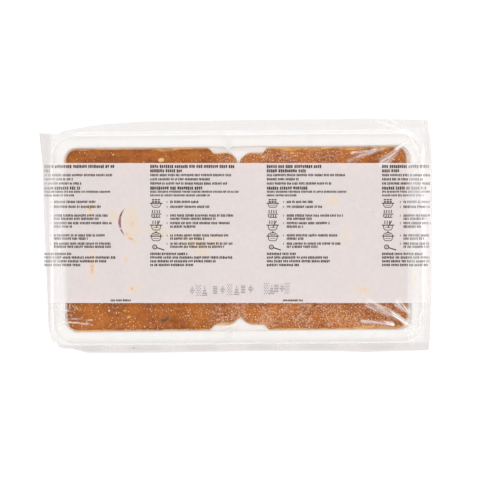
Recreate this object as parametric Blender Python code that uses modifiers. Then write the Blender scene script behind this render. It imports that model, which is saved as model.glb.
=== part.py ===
"""Frozen condensed soup in its shut catering pack.

Two frozen blocks lie in the two pockets of a white thermoformed tray, and one tube of
clear film wraps the whole, sealed flat at both ends. Metres, +Z up. X runs along the
pack, with +X to the right, and Y runs to its back. The origin is the middle of the
pack's underside.
"""
import math

import bmesh
import bpy
import numpy as np

MM = 0.001

# Fit between touching pieces
GAP = 0.3 * MM

# Film wrap: its reach, the sheet, and the flat margin where the two sheets meet
PACK_HALF_LENGTH = 157.2 * MM
FILM_THICKNESS = 0.35 * MM
MARGIN_THICKNESS = 1.1 * MM
MARGIN_MIN_WIDTH = 1.3 * MM
BEND_MIN_WIDTH = 0.7 * MM
MARGIN_WAVE = 0.45 * MM
MARGIN_WAVE_LENGTH = 47.0 * MM

# Tray: it lies a little askew in the wrap; the flange, the mouth, the deck between the
# pockets, and the pockets
TRAY_CENTRE = (1.8 * MM, -2.4 * MM)
TRAY_TURN = math.radians(0.45)
TRAY_LENGTH = 295.6 * MM
TRAY_WIDTH = 166.0 * MM
TRAY_HEIGHT = 52.7 * MM
TRAY_WALL = 1.0 * MM
FLANGE_BREADTH = 9.4 * MM
FLANGE_CORNER = 17.0 * MM
FLANGE_LIP = 1.8 * MM
MOUTH_CORNER = 10.0 * MM
MOUTH_ROUND = 0.8 * MM
MOUTH_TAPER = 0.3 * MM
DECK_DEPTH = 4.5 * MM
DECK_STEP = 0.1 * MM
POCKET_CORNER = 9.7 * MM
POCKET_END_STEPS = {-1: 0.2 * MM, 1: 1.8 * MM}
POCKET_DRAFT = math.radians(5.0)
FLOOR_FILLET = 6.0 * MM
EDGE_ROUND = 0.5 * MM

# Divider: its middle from the tray's centre, its crest, and the ledges at its two ends
DIVIDER_X = 0.8 * MM
CREST_HALF = 1.6 * MM
DIVIDER_CORNERS = {-1: 7.5 * MM, 1: 9.5 * MM}
LEDGE_BREADTH = 4.0 * MM
LEDGE_INNER = 19.3 * MM
LEDGE_OUTER = 24.3 * MM

# Stacking lugs: small points on both long sides of the mouth, left of the divider
LUG_FROM_DIVIDER = 7.8 * MM
LUG_HALF = 3.6 * MM
LUG_REACH = 3.0 * MM

# Soup: its edge below the deck, its crown, and the stretch that runs over the divider
SOUP_EDGE_DROP = 0.2 * MM
SOUP_CROWN = 1.1 * MM
SOUP_SHOULDER = 6.0 * MM
LIP_BACK_END = 63.1 * MM
LIP_FRONT_END = -65.8 * MM
LIP_END_RISE = 1.5 * MM
LIP_SEAM_X = 2.2 * MM
LIP_THICKNESS = 0.9 * MM
LIP_REACH_DELAY = 1.2
LIP_CLEARANCE = 0.05 * MM
EDGE_FOOT = 0.3 * MM
EDGE_STEP = 0.1 * MM
LUMP_FALL_OFF = 1.5
FINE_LUMPS = 90
FINE_LUMP_RADII = (6.0 * MM, 13.0 * MM)
FINE_LUMP_RISES = (-0.7 * MM, 1.1 * MM)
LUMP_SEED = 7

# Heights that follow
FLOOR_BOTTOM = FILM_THICKNESS + GAP
FLOOR_TOP = FLOOR_BOTTOM + TRAY_WALL
FLANGE_TOP = FLOOR_BOTTOM + TRAY_HEIGHT
PACK_TOP = FLANGE_TOP + GAP + FILM_THICKNESS
DECK = FLANGE_TOP - DECK_DEPTH
LUMP_CEILING = FLANGE_TOP - 0.1 * MM

# Film outline seen from above, in millimetres: (along, reach) for the long sides, and
# (across, reach) for the sealed ends
BACK_EDGE = [(-157.2, 82.2), (-143.2, 81.2), (-137.0, 84.0), (-112.0, 88.7), (-76.0, 91.4),
             (104.0, 93.8), (119.0, 93.8), (153.8, 92.4)]
FRONT_EDGE = [(-146.8, -85.0), (-143.2, -88.6), (-137.0, -90.3), (-130.7, -90.5),
              (-118.0, -93.8), (-76.0, -93.8), (15.0, -92.2), (75.0, -92.2), (104.0, -93.0),
              (154.6, -91.6)]
LEFT_EDGE = [(-85.0, -146.8), (-71.4, -149.9), (-53.8, -150.2), (-3.4, -152.4),
             (58.2, -154.6), (82.2, -157.2)]
RIGHT_EDGE = [(-91.6, 154.6), (-83.0, 155.7), (-43.4, 156.8), (-3.4, 157.2), (56.6, 157.2),
              (72.6, 156.4), (92.4, 153.8)]

# Where the flat margin begins beside the tray: back, front, left and right
MARGIN_BACK = 85.0 * MM
MARGIN_FRONT = -86.6 * MM
MARGIN_LEFT = -147.6 * MM
MARGIN_RIGHT = 151.8 * MM
FIN_MIN_WIDTH = 2.5 * MM

# Top sheet beside the flange: where it bends, how far it drops, and its slope and wave
FILM_OVERHANG = 0.6 * MM
FILM_BEND_WIDTH = 2.2 * MM
FILM_BEND_DROP = 1.4 * MM
FILM_MARGIN_SLOPE = 0.07
WAVE_START = 3.0 * MM
WAVE_RUN = 6.0 * MM
WAVE_SLANT = 0.6

# Underside of the film: a flat rectangle round the tray's base
BASE_HALF_LENGTH = 133.6 * MM
BASE_HALF_WIDTH = 68.8 * MM

# High spots of the frozen surface that show, in millimetres: (x, y, radius, rise)
SHOWN_LUMPS = [
    (-116.4, 22.2, 5.5, 3.6), (-114.8, -23.4, 9.0, 3.2), (-94.0, 9.0, 7.5, 3.4),
    (-83.0, 11.0, 9.5, 3.6), (-84.0, -3.0, 7.0, 3.2), (-82.8, -42.2, 5.0, 3.4),
    (-41.0, 1.0, 19.0, 3.0), (-15.6, -3.6, 7.0, 3.2), (-26.0, -12.0, 8.0, 3.0),
    (78.0, 27.0, 9.0, 3.4), (69.5, 24.0, 5.0, 3.0), (86.0, -6.6, 10.0, 3.0),
    (71.6, -29.8, 8.0, 3.2), (102.8, -43.4, 7.5, 3.4), (110.0, 19.0, 3.5, 3.2),
    (-59.6, 60.6, 4.0, 1.4), (45.2, 66.4, 3.0, 1.2), (-128.0, -57.0, 4.0, 1.5),
    (-56.4, -66.6, 3.5, 1.0), (-86.0, -64.2, 3.5, 1.2), (59.3, -56.0, 3.0, 1.0),
]

# Facets
OUTER_CORNER_STEPS = 8
DIVIDER_CORNER_STEPS = 6
RIM_FEET = (0.0, 2.2 * MM, LUG_FROM_DIVIDER - LUG_HALF, LUG_FROM_DIVIDER)
RUN_STATIONS = (12.0 * MM, LEDGE_INNER, LEDGE_OUTER)
TRAY_RUN = {"long": 1, "end": 1, "divider": 1}
SOUP_RUN = {"long": 15, "end": 16, "divider": 18}
FILM_STATIONS = (-118.0, -112.0, -94.0, -76.0, -46.0, -15.0, 15.0, 45.0, 75.0, 104.0, 119.0)


def smooth_step(value):
    """0 below 0, 1 above 1, and an even S between."""
    value = np.clip(value, 0.0, 1.0)
    return value * value * (3.0 - 2.0 * value)


def reach_along(outline, position):
    """Reads an outline given in millimetres at a position in metres."""
    places, reaches = zip(*outline)
    return float(np.interp(position / MM, places, reaches)) * MM


def between(start, end, steps):
    """The points that split a straight run into steps, without its two ends."""
    start, end = np.array(start), np.array(end)
    return [tuple(start + (end - start) * k / steps) for k in range(1, steps)]


def arc(centre, radius, toward_x, toward_y, first, last, steps):
    """Points of a corner's arc, with angles in degrees from the X side to the Y side."""
    angles = [math.radians(first + (last - first) * k / steps) for k in range(steps + 1)]
    return [(centre[0] + toward_x * radius * math.cos(a),
             centre[1] + toward_y * radius * math.sin(a)) for a in angles]


def ledge_inset(from_divider):
    """How far the ledge beside the divider pushes a pocket's long side in."""
    return LEDGE_BREADTH * float(
        1.0 - smooth_step((from_divider - LEDGE_INNER) / (LEDGE_OUTER - LEDGE_INNER)))


def lug_inset(side, from_divider):
    """How far a stacking lug pushes the left pocket's rim in."""
    if side > 0:
        return 0.0
    return max(0.0, 1.0 - abs(from_divider - LUG_FROM_DIVIDER) / LUG_HALF)


def rim_sides(side, inset, corner, lug, run):
    """The rim beside one pocket: its back, outer end, front, and the divider's middle."""
    half_x, half_y = TRAY_LENGTH / 2 - inset, TRAY_WIDTH / 2 - inset

    def long_side(toward):
        feet = RIM_FEET + RUN_STATIONS
        points = [(DIVIDER_X + side * d, toward * (half_y - lug * lug_inset(side, d))) for d in feet]
        corner_start = (side * (half_x - corner), toward * half_y)
        points += between(points[-1], corner_start, run["long"])
        centre = (side * (half_x - corner), toward * (half_y - corner))
        return points + arc(centre, corner, side, toward, 90, 45, OUTER_CORNER_STEPS // 2)

    back, front = long_side(1), long_side(-1)
    outer = end_side(side, half_x, half_y, corner, run)
    halves = DIVIDER_CORNER_STEPS // 2
    steps = 2 * halves + run["divider"]
    divider = [front[0]] + between(front[0], back[0], steps) + [back[0]]
    return back, outer, front[::-1], divider


def pocket_sides(side, inset, corner, crest, run):
    """One pocket's outline: its back, outer end, front and divider sides."""
    half_x, half_y = TRAY_LENGTH / 2 - POCKET_END_STEPS[side] - inset, TRAY_WIDTH / 2 - inset
    halves = DIVIDER_CORNER_STEPS // 2

    def divider_corner(toward, first, last):
        radius = DIVIDER_CORNERS[side]
        centre = (DIVIDER_X + side * (crest + radius), toward * (half_y - LEDGE_BREADTH - radius))
        return arc(centre, radius, -side, toward, first, last, halves)

    def long_side(toward):
        points = divider_corner(toward, 45, 90)
        points += [(DIVIDER_X + side * (d + crest - CREST_HALF),
                    toward * (half_y - ledge_inset(d))) for d in RUN_STATIONS]
        corner_start = (side * (half_x - corner), toward * half_y)
        points += between(points[-1], corner_start, run["long"])
        centre = (side * (half_x - corner), toward * (half_y - corner))
        return points + arc(centre, corner, side, toward, 90, 45, OUTER_CORNER_STEPS // 2)

    back, front = long_side(1), long_side(-1)
    outer = end_side(side, half_x, half_y, corner, run)
    divider_front = divider_corner(-1, 45, 0)
    divider_back = divider_corner(1, 0, 45)
    divider = divider_front + between(divider_front[-1], divider_back[0], run["divider"])
    return back, outer, front[::-1], divider + divider_back


def end_side(side, half_x, half_y, corner, run):
    """The short outer side, from the middle of one corner's arc to the other's."""
    halves = OUTER_CORNER_STEPS // 2
    centre_x, centre_y = side * (half_x - corner), half_y - corner
    first = arc((centre_x, centre_y), corner, side, 1, 45, 0, halves)
    last = arc((centre_x, -centre_y), corner, side, -1, 0, 45, halves)
    return first + between(first[-1], last[0], run["end"]) + last


def join_sides(sides, closed=True):
    """Joins sides that share their end points into one ring of points."""
    ring = [point for side in sides for point in side[:-1]]
    if not closed:
        ring.append(sides[-1][-1])
    return ring


def add_ring(mesh, ring, height):
    """Adds a ring's points at one height, or at a height for each of them."""
    heights = height if hasattr(height, "__len__") else [height] * len(ring)
    return [mesh.verts.new((x, y, z)) for (x, y), z in zip(ring, heights)]


def bridge(mesh, first, second, closed, flip):
    """Quads between two rings of as many points."""
    count = len(first)
    for k in range(count if closed else count - 1):
        n = (k + 1) % count
        corners = [first[k], first[n], second[n], second[k]]
        mesh.faces.new(corners[::-1] if flip else corners)


def new_object(name, mesh, material, smooth_angle):
    """Turns a finished bmesh into a smooth-shaded object with its own material."""
    data = bpy.data.meshes.new(name)
    mesh.to_mesh(data)
    mesh.free()
    data.shade_smooth()
    data.set_sharp_from_angle(angle=math.radians(smooth_angle))
    data.materials.append(material)
    return bpy.data.objects.new(name, data)


def new_material(name, colour, roughness, transmission=0.0):
    material = bpy.data.materials.new(name)
    material.use_nodes = True
    shader = material.node_tree.nodes["Principled BSDF"]
    shader.inputs["Base Color"].default_value = (*colour, 1.0)
    shader.inputs["Roughness"].default_value = roughness
    shader.inputs["Metallic"].default_value = 0.0
    shader.inputs["Transmission Weight"].default_value = transmission
    return material


# Tray

def pocket_levels():
    """A pocket from its edge on the deck to its floor: (inset, height, corner, crest)."""
    edge = FLANGE_BREADTH + MOUTH_TAPER + DECK_STEP
    wall_top = DECK - 2 * EDGE_ROUND
    wall_foot = FLOOR_TOP + FLOOR_FILLET
    draft_run = (wall_top - wall_foot) * math.tan(POCKET_DRAFT)
    runs = [(0.0, DECK), (EDGE_ROUND, wall_top)]
    for angle in np.radians([0.0, 30.0, 60.0, 90.0]):
        run = EDGE_ROUND + draft_run + FLOOR_FILLET * (1 - math.cos(angle))
        runs.append((run, wall_foot - FLOOR_FILLET * math.sin(angle)))
    return [(edge + run, height, POCKET_CORNER, CREST_HALF + run) for run, height in runs]


def rim_levels():
    """The rim from the lip's hem to the mouth's foot: (inset, height, corner, lug)."""
    flange_inner = FLANGE_BREADTH - MOUTH_ROUND
    levels = [
        (0.0, FLANGE_TOP - FLANGE_LIP, FLANGE_CORNER, 0.0),
        (0.0, FLANGE_TOP - EDGE_ROUND, FLANGE_CORNER, 0.0),
        (EDGE_ROUND, FLANGE_TOP, FLANGE_CORNER, 0.0),
    ]
    for angle in np.radians([0.0, 30.0, 60.0, 80.0]):
        inset = flange_inner + MOUTH_ROUND * math.sin(angle)
        height = FLANGE_TOP - MOUTH_ROUND * (1 - math.cos(angle))
        levels.append((inset, height, MOUTH_CORNER, LUG_REACH))
    return levels + [(FLANGE_BREADTH + MOUTH_TAPER, DECK, MOUTH_CORNER, LUG_REACH / 2)]


def make_tray():
    """An open skin, its good side to the food, thickened away from the food."""
    mesh = bmesh.new()
    for side in (-1, 1):
        flip = side > 0
        above = None
        for inset, height, corner, lug in rim_levels():
            sides = rim_sides(side, inset, corner, lug, TRAY_RUN)
            ring = add_ring(mesh, join_sides(sides[:3], closed=False), height)
            if above:
                bridge(mesh, above, ring, False, flip)
            above = ring
        middle = add_ring(mesh, sides[3][1:-1], height)
        above = above + middle
        for inset, height, corner, crest in pocket_levels():
            sides = pocket_sides(side, inset, corner, crest, TRAY_RUN)
            ring = add_ring(mesh, join_sides(sides), height)
            bridge(mesh, above, ring, True, flip)
            above = ring
        mesh.faces.new(above[::-1] if flip else above)
    bmesh.ops.remove_doubles(mesh, verts=mesh.verts, dist=0.001 * MM)
    material = new_material("tray_plastic", (0.90, 0.87, 0.85), 0.35)
    tray = new_object("tray", mesh, material, 35)
    tray.location = (*TRAY_CENTRE, 0.0)
    tray.rotation_euler = (0.0, 0.0, TRAY_TURN)
    shell = tray.modifiers.new("wall", "SOLIDIFY")
    shell.thickness = TRAY_WALL
    shell.offset = -1.0
    shell.use_even_offset = True
    return tray


# Soup blocks

def fine_lumps():
    """Small lumps spread at random over both blocks: x, y, radius and rise."""
    draw = np.random.RandomState(LUMP_SEED)
    x = draw.uniform(-TRAY_LENGTH / 2, TRAY_LENGTH / 2, FINE_LUMPS)
    y = draw.uniform(-TRAY_WIDTH / 2, TRAY_WIDTH / 2, FINE_LUMPS)
    radius = draw.uniform(*FINE_LUMP_RADII, FINE_LUMPS)
    rise = draw.uniform(*FINE_LUMP_RISES, FINE_LUMPS)
    return list(zip(x, y, radius, rise))


def into_tray(x, y):
    """A place in the pack, seen from the tray's centre along the tray's own sides."""
    away_x, away_y = x - TRAY_CENTRE[0], y - TRAY_CENTRE[1]
    turn_cos, turn_sin = math.cos(TRAY_TURN), math.sin(TRAY_TURN)
    return away_x * turn_cos + away_y * turn_sin, away_y * turn_cos - away_x * turn_sin


def all_lumps():
    """Every lump of the frozen surface, in metres from the tray's centre."""
    shown = [(*into_tray(x * MM, y * MM), r * MM, h * MM) for x, y, r, h in SHOWN_LUMPS]
    return shown + fine_lumps()


def soup_rise(x, y, lumps):
    """How far the frozen surface stands above its edge at a place well inside."""
    rise = SOUP_CROWN
    for lump_x, lump_y, radius, height in lumps:
        away = ((x - lump_x) ** 2 + (y - lump_y) ** 2) / radius ** 2
        rise += height * math.exp(-LUMP_FALL_OFF * away)
    return rise


def runs_over_divider(y, late):
    """1 where the soup froze over the divider's crest, 0 at the crest's two bare ends.

    The edge first rises, then reaches over: late is 0 for its rise, 1 for its reach.
    """
    start = min(LIP_BACK_END - y, y - LIP_FRONT_END) / LIP_END_RISE
    return float(smooth_step(start - LIP_REACH_DELAY * late))


def lip_ring(sides, height, lip_height, lip_x):
    """Carries the divider side of a block's ring over the crest where the soup does."""
    ring, heights = [], []
    for number, points in enumerate(sides):
        for x, y in points[:-1]:
            rise = runs_over_divider(y, 0) if number == 3 else 0.0
            reach = runs_over_divider(y, 1) if number == 3 else 0.0
            ring.append((x + (lip_x - x) * reach, y))
            heights.append(height + (lip_height - height) * rise)
    return ring, heights


def coons_patch(ring, counts):
    """Fills a ring of four sides with a grid of points that follows all four."""
    across, along = counts
    corners = [0, across, across + along, 2 * across + along]
    points = np.array(ring + [ring[0]])
    back = points[0:across + 1]
    outer = points[corners[1]:corners[2] + 1]
    front = points[corners[2]:corners[3] + 1][::-1]
    divider = points[corners[3]:][::-1]
    s = np.linspace(0.0, 1.0, across + 1)[:, None, None]
    t = np.linspace(0.0, 1.0, along + 1)[None, :, None]
    flat = ((1 - s) * (1 - t) * back[0] + s * (1 - t) * back[-1]
            + (1 - s) * t * front[0] + s * t * front[-1])
    sides = ((1 - t) * back[:, None] + t * front[:, None]
             + (1 - s) * divider[None, :] + s * outer[None, :])
    return sides - flat


def make_soup_block(name, side, lumps):
    """One frozen block: it fills its pocket and has the lumps of the soup on top."""
    mesh = bmesh.new()
    flip = side > 0
    levels = pocket_levels()
    below = None
    for inset, height, corner, crest in levels[:0:-1]:
        sides = pocket_sides(side, inset + GAP, corner, crest + GAP, SOUP_RUN)
        lift = GAP * (FLOOR_TOP + FLOOR_FILLET - height) / FLOOR_FILLET
        ring = add_ring(mesh, join_sides(sides), height + max(0.0, lift))
        if below:
            bridge(mesh, below, ring, True, not flip)
        else:
            mesh.faces.new(ring if flip else ring[::-1])
        below = ring

    inset, _, corner, crest = levels[0]
    sides = pocket_sides(side, inset + GAP, corner, crest + GAP, SOUP_RUN)
    seam = LIP_SEAM_X + side * GAP / 2
    shoulder = DIVIDER_X + side * (CREST_HALF + GAP)
    edge = DECK - SOUP_EDGE_DROP
    lip_floor = DECK + GAP + LIP_CLEARANCE
    outlines = [
        lip_ring(sides, edge - EDGE_FOOT, lip_floor, shoulder),
        lip_ring(sides, edge - EDGE_STEP, lip_floor + EDGE_STEP, seam),
        lip_ring(sides, edge, lip_floor + LIP_THICKNESS, seam),
    ]
    for outline, heights in outlines:
        ring = add_ring(mesh, outline, heights)
        bridge(mesh, below, ring, True, not flip)
        below = ring

    across, along = len(sides[0]) - 1, len(sides[1]) - 1
    rim = [(x, y, z) for (x, y), z in zip(outline, heights)]
    grid = coons_patch(rim, (across, along))
    count = len(rim)
    rows = [[None] * (along + 1) for _ in range(across + 1)]
    for i in range(across + 1):
        for j in range(along + 1):
            if j == 0:
                rows[i][j] = below[i]
            elif i == across:
                rows[i][j] = below[across + j]
            elif j == along:
                rows[i][j] = below[across + along + (across - i)]
            elif i == 0:
                rows[i][j] = below[(2 * across + 2 * along - j) % count]
            else:
                x, y, z = grid[i, j]
                from_edge = min(i / across, 1 - i / across) * TRAY_LENGTH / 2
                from_edge = min(from_edge, min(j / along, 1 - j / along) * TRAY_WIDTH)
                rise = soup_rise(x, y, lumps) * float(smooth_step(from_edge / SOUP_SHOULDER))
                rows[i][j] = mesh.verts.new((x, y, min(z + rise, LUMP_CEILING)))
    for i in range(across):
        for j in range(along):
            corners = [rows[i][j], rows[i + 1][j], rows[i + 1][j + 1], rows[i][j + 1]]
            mesh.faces.new(corners[::-1] if flip else corners)
    bmesh.ops.recalc_face_normals(mesh, faces=mesh.faces)
    material = new_material(name + "_soup", (0.42, 0.17, 0.06), 0.45)
    block = new_object(name, mesh, material, 40)
    block.location = (*TRAY_CENTRE, 0.0)
    block.rotation_euler = (0.0, 0.0, TRAY_TURN)
    return block


# Film wrap

def outside_flange(x, y):
    """Distance of a place outside the flange's outline seen from above."""
    own_x, own_y = into_tray(x, y)
    over_x = abs(own_x) - (TRAY_LENGTH / 2 - FLANGE_CORNER)
    over_y = abs(own_y) - (TRAY_WIDTH / 2 - FLANGE_CORNER)
    beyond = math.hypot(max(over_x, 0.0), max(over_y, 0.0))
    return beyond + min(max(over_x, over_y), 0.0) - FLANGE_CORNER


def film_height(x, y):
    """Top sheet: flat on the flange, then down to the margin, which waves a little."""
    away = outside_flange(x, y)
    wave = MARGIN_WAVE * math.sin(2 * math.pi * (x + WAVE_SLANT * y) / MARGIN_WAVE_LENGTH)
    drop = FILM_BEND_DROP * float(smooth_step((away - FILM_OVERHANG) / FILM_BEND_WIDTH))
    drop += FILM_MARGIN_SLOPE * max(0.0, away - FILM_OVERHANG - FILM_BEND_WIDTH)
    return PACK_TOP - drop + wave * float(smooth_step((away - WAVE_START) / WAVE_RUN))


def askew(x):
    """How far the tray's turn carries its long sides back at a place along the pack."""
    return (x - TRAY_CENTRE[0]) * math.tan(TRAY_TURN)


def bend_place(x, toward):
    """Where the flat top sheet ends at the back (1) or front (-1), round the corners."""
    radius = FLANGE_CORNER + FILM_OVERHANG
    own_x = x - TRAY_CENTRE[0] + toward * TRAY_WIDTH / 2 * math.tan(TRAY_TURN)
    into_corner = min(max(abs(own_x) - (TRAY_LENGTH / 2 - FLANGE_CORNER), 0.0), radius)
    reach = TRAY_WIDTH / 2 - FLANGE_CORNER + math.sqrt(radius ** 2 - into_corner ** 2)
    return TRAY_CENTRE[1] + toward * reach + askew(x)


def corner_stations(end):
    """Places along the pack where the film's loops follow the flange's corners."""
    radius = FLANGE_CORNER + FILM_OVERHANG
    centre = TRAY_CENTRE[0] + end * (TRAY_LENGTH / 2 - FLANGE_CORNER)
    return [centre + end * radius * math.cos(math.radians(a)) for a in (0.0, 22.5, 45.0, 67.5)]


def film_ring(x, fullness, x_at):
    """One loop of the film, from the back tip over the top and round the underside.

    fullness is 0 where both sheets lie together and 1 over the tray's base, and
    x_at gives the loop's place along the pack at each distance across it.
    """
    tip_back, tip_front = reach_along(BACK_EDGE, x), reach_along(FRONT_EDGE, x)
    root_back = min(MARGIN_BACK + askew(x), tip_back - MARGIN_MIN_WIDTH)
    root_front = max(MARGIN_FRONT + askew(x), tip_front + MARGIN_MIN_WIDTH)
    bend_back = min(bend_place(x, 1), root_back - BEND_MIN_WIDTH)
    bend_front = max(bend_place(x, -1), root_front + BEND_MIN_WIDTH)
    top = [tip_back, (tip_back + root_back) / 2, root_back]
    top += list(np.linspace(bend_back, bend_front, 10))
    top += [root_front, (tip_front + root_front) / 2, tip_front]
    points = [(x_at(y), y, film_height(x_at(y), y)) for y in top]

    def underside(y):
        return film_height(x_at(y), y) - MARGIN_THICKNESS

    def wall(root, base):
        foot_y = root + (base - root) * (0.1 + 0.9 * fullness)
        foot_z = underside(foot_y) * (1 - fullness)
        rise = [0.0, 0.35, 0.7, 0.96]
        return [(x_at(root + (foot_y - root) * s), root + (foot_y - root) * s,
                 underside(root) + (foot_z - underside(root)) * s) for s in rise], foot_y, foot_z

    base_middle = TRAY_CENTRE[1] + askew(x)
    front_wall, front_foot, front_z = wall(root_front, base_middle - BASE_HALF_WIDTH)
    back_wall, back_foot, back_z = wall(root_back, base_middle + BASE_HALF_WIDTH)
    points.append((x_at(tip_front), tip_front, underside(tip_front)))
    points += front_wall
    for s in (0.02, 0.1, 0.3, 0.5, 0.7, 0.9, 0.98):
        y = front_foot + (back_foot - front_foot) * s
        points.append((x_at(y), y, front_z + (back_z - front_z) * s))
    points += back_wall[::-1]
    points.append((x_at(tip_back), tip_back, underside(tip_back)))
    return points


def left_margin(y):
    """Where the left fin's flat part begins."""
    return max(MARGIN_LEFT, reach_along(LEFT_EDGE, y) + FIN_MIN_WIDTH)


def make_film():
    """A tube round the tray, pressed flat at both ends into the fin seals."""
    base_left = TRAY_CENTRE[0] - BASE_HALF_LENGTH
    base_right = TRAY_CENTRE[0] + BASE_HALF_LENGTH
    inner = corner_stations(-1) + [base_left]
    inner += [place * MM for place in FILM_STATIONS]
    inner += [base_right] + corner_stations(1)[::-1]
    rings = [film_ring(-PACK_HALF_LENGTH, 0.0, lambda y: reach_along(LEFT_EDGE, y)),
             film_ring(MARGIN_LEFT, 0.0, left_margin)]
    for x in inner:
        from_left = (x - MARGIN_LEFT) / (base_left - MARGIN_LEFT)
        from_right = (MARGIN_RIGHT - x) / (MARGIN_RIGHT - base_right)
        fullness = min(1.0, from_left, from_right)
        rings.append(film_ring(x, fullness, lambda y, at=x: at))
    rings += [film_ring(MARGIN_RIGHT, 0.0, lambda y: MARGIN_RIGHT),
              film_ring(PACK_HALF_LENGTH, 0.0, lambda y: reach_along(RIGHT_EDGE, y))]

    mesh = bmesh.new()
    loops = [[mesh.verts.new(point) for point in ring] for ring in rings]
    for first, second in zip(loops, loops[1:]):
        bridge(mesh, first, second, True, False)
    material = new_material("clear_film", (0.95, 0.94, 0.94), 0.12, transmission=0.9)
    film = new_object("film_wrap", mesh, material, 30)
    shell = film.modifiers.new("sheet", "SOLIDIFY")
    shell.thickness = FILM_THICKNESS
    shell.offset = -1.0
    return film


def main():
    for old in list(bpy.data.objects):
        bpy.data.objects.remove(old, do_unlink=True)
    parts = bpy.data.collections.new("frozen_soup_pack")
    bpy.context.scene.collection.children.link(parts)

    pack = bpy.data.objects.new("pack", None)
    parts.objects.link(pack)
    lumps = all_lumps()
    pieces = [
        make_tray(),
        make_soup_block("soup_block_left", -1, lumps),
        make_soup_block("soup_block_right", 1, lumps),
        make_film(),
    ]
    for piece in pieces:
        parts.objects.link(piece)
        piece.parent = pack


main()
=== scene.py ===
"""Looks of the frozen soup pack: film with its creases and print, tray, soup and frost.

Metres, +Z up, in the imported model's frame: X runs along the pack, Y to its back, and the
origin is the middle of its underside. Lists of places are in millimetres.
"""
import math

import bmesh
import bpy
import numpy as np
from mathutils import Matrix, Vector


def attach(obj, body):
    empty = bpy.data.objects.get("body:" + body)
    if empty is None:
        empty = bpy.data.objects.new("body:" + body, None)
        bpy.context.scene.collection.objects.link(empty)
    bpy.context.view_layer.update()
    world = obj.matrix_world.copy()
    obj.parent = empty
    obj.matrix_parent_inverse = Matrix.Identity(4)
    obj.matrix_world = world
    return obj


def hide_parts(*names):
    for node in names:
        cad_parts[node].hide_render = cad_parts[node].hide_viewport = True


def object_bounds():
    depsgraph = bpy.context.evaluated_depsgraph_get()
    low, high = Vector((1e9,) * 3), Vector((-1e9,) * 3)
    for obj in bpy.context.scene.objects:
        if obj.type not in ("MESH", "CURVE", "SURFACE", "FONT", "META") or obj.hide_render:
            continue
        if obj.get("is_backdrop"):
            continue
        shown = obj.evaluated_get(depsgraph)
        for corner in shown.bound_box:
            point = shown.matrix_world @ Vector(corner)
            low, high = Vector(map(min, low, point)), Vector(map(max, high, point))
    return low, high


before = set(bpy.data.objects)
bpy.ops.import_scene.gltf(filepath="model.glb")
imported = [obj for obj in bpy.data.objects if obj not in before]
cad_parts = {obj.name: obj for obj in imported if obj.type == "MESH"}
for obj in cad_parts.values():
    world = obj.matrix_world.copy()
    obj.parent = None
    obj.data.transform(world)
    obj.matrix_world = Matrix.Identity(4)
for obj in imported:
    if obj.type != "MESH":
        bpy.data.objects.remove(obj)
cad_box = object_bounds()

MM = 0.001

# Camera: straight above the film, where one pixel of the photograph is 0.8 mm
CAMERA_MIDDLE = (3.6 * MM, -3.4 * MM)
CAMERA_ABOVE_FILM = 1.6
CAMERA_LENS = 150.0
SENSOR = 36.0

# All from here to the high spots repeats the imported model: fit, film and flat margin
GAP = 0.3 * MM
PACK_HALF_LENGTH = 157.2 * MM
CAD_FILM = 0.35 * MM
MARGIN_MIN_WIDTH = 1.3 * MM
BEND_MIN_WIDTH = 0.7 * MM
MARGIN_WAVE = 0.45 * MM
MARGIN_WAVE_LENGTH = 47.0 * MM

# Tray: askew in the wrap, with flange, mouth, deck and pockets
TRAY_CENTRE = (1.8 * MM, -2.4 * MM)
TRAY_TURN = math.radians(0.45)
TRAY_LENGTH = 295.6 * MM
TRAY_WIDTH = 166.0 * MM
TRAY_HEIGHT = 52.7 * MM
TRAY_WALL = 1.0 * MM
FLANGE_BREADTH = 9.4 * MM
FLANGE_CORNER = 17.0 * MM
FLANGE_LIP = 1.8 * MM
MOUTH_CORNER = 10.0 * MM
MOUTH_ROUND = 0.8 * MM
MOUTH_TAPER = 0.3 * MM
DECK_DEPTH = 4.5 * MM
DECK_STEP = 0.1 * MM
POCKET_CORNER = 9.7 * MM
POCKET_END_STEPS = {-1: 0.2 * MM, 1: 1.8 * MM}
POCKET_DRAFT = math.radians(5.0)
FLOOR_FILLET = 6.0 * MM
EDGE_ROUND = 0.5 * MM

# Divider, the ledges at its ends, and the stacking lugs beside it
DIVIDER_X = 0.8 * MM
CREST_HALF = 1.6 * MM
DIVIDER_CORNERS = {-1: 7.5 * MM, 1: 9.5 * MM}
LEDGE_BREADTH = 4.0 * MM
LEDGE_INNER = 19.3 * MM
LEDGE_OUTER = 24.3 * MM
LUG_FROM_DIVIDER = 7.8 * MM
LUG_HALF = 3.6 * MM
LUG_REACH = 3.0 * MM

# Soup: edge, crown, the stretch that runs over the divider, and small lumps
SOUP_EDGE_DROP = 0.2 * MM
SOUP_CROWN = 1.1 * MM
SOUP_SHOULDER = 6.0 * MM
LIP_BACK_END = 63.1 * MM
LIP_FRONT_END = -65.8 * MM
LIP_END_RISE = 1.5 * MM
LIP_SEAM_X = 2.2 * MM
LIP_THICKNESS = 0.9 * MM
LIP_REACH_DELAY = 1.2
LIP_CLEARANCE = 0.05 * MM
EDGE_FOOT = 0.3 * MM
EDGE_STEP = 0.1 * MM
LUMP_FALL_OFF = 1.5
FINE_LUMPS = 90
FINE_LUMP_RADII = (6.0 * MM, 13.0 * MM)
FINE_LUMP_RISES = (-0.7 * MM, 1.1 * MM)
LUMP_SEED = 7

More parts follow.
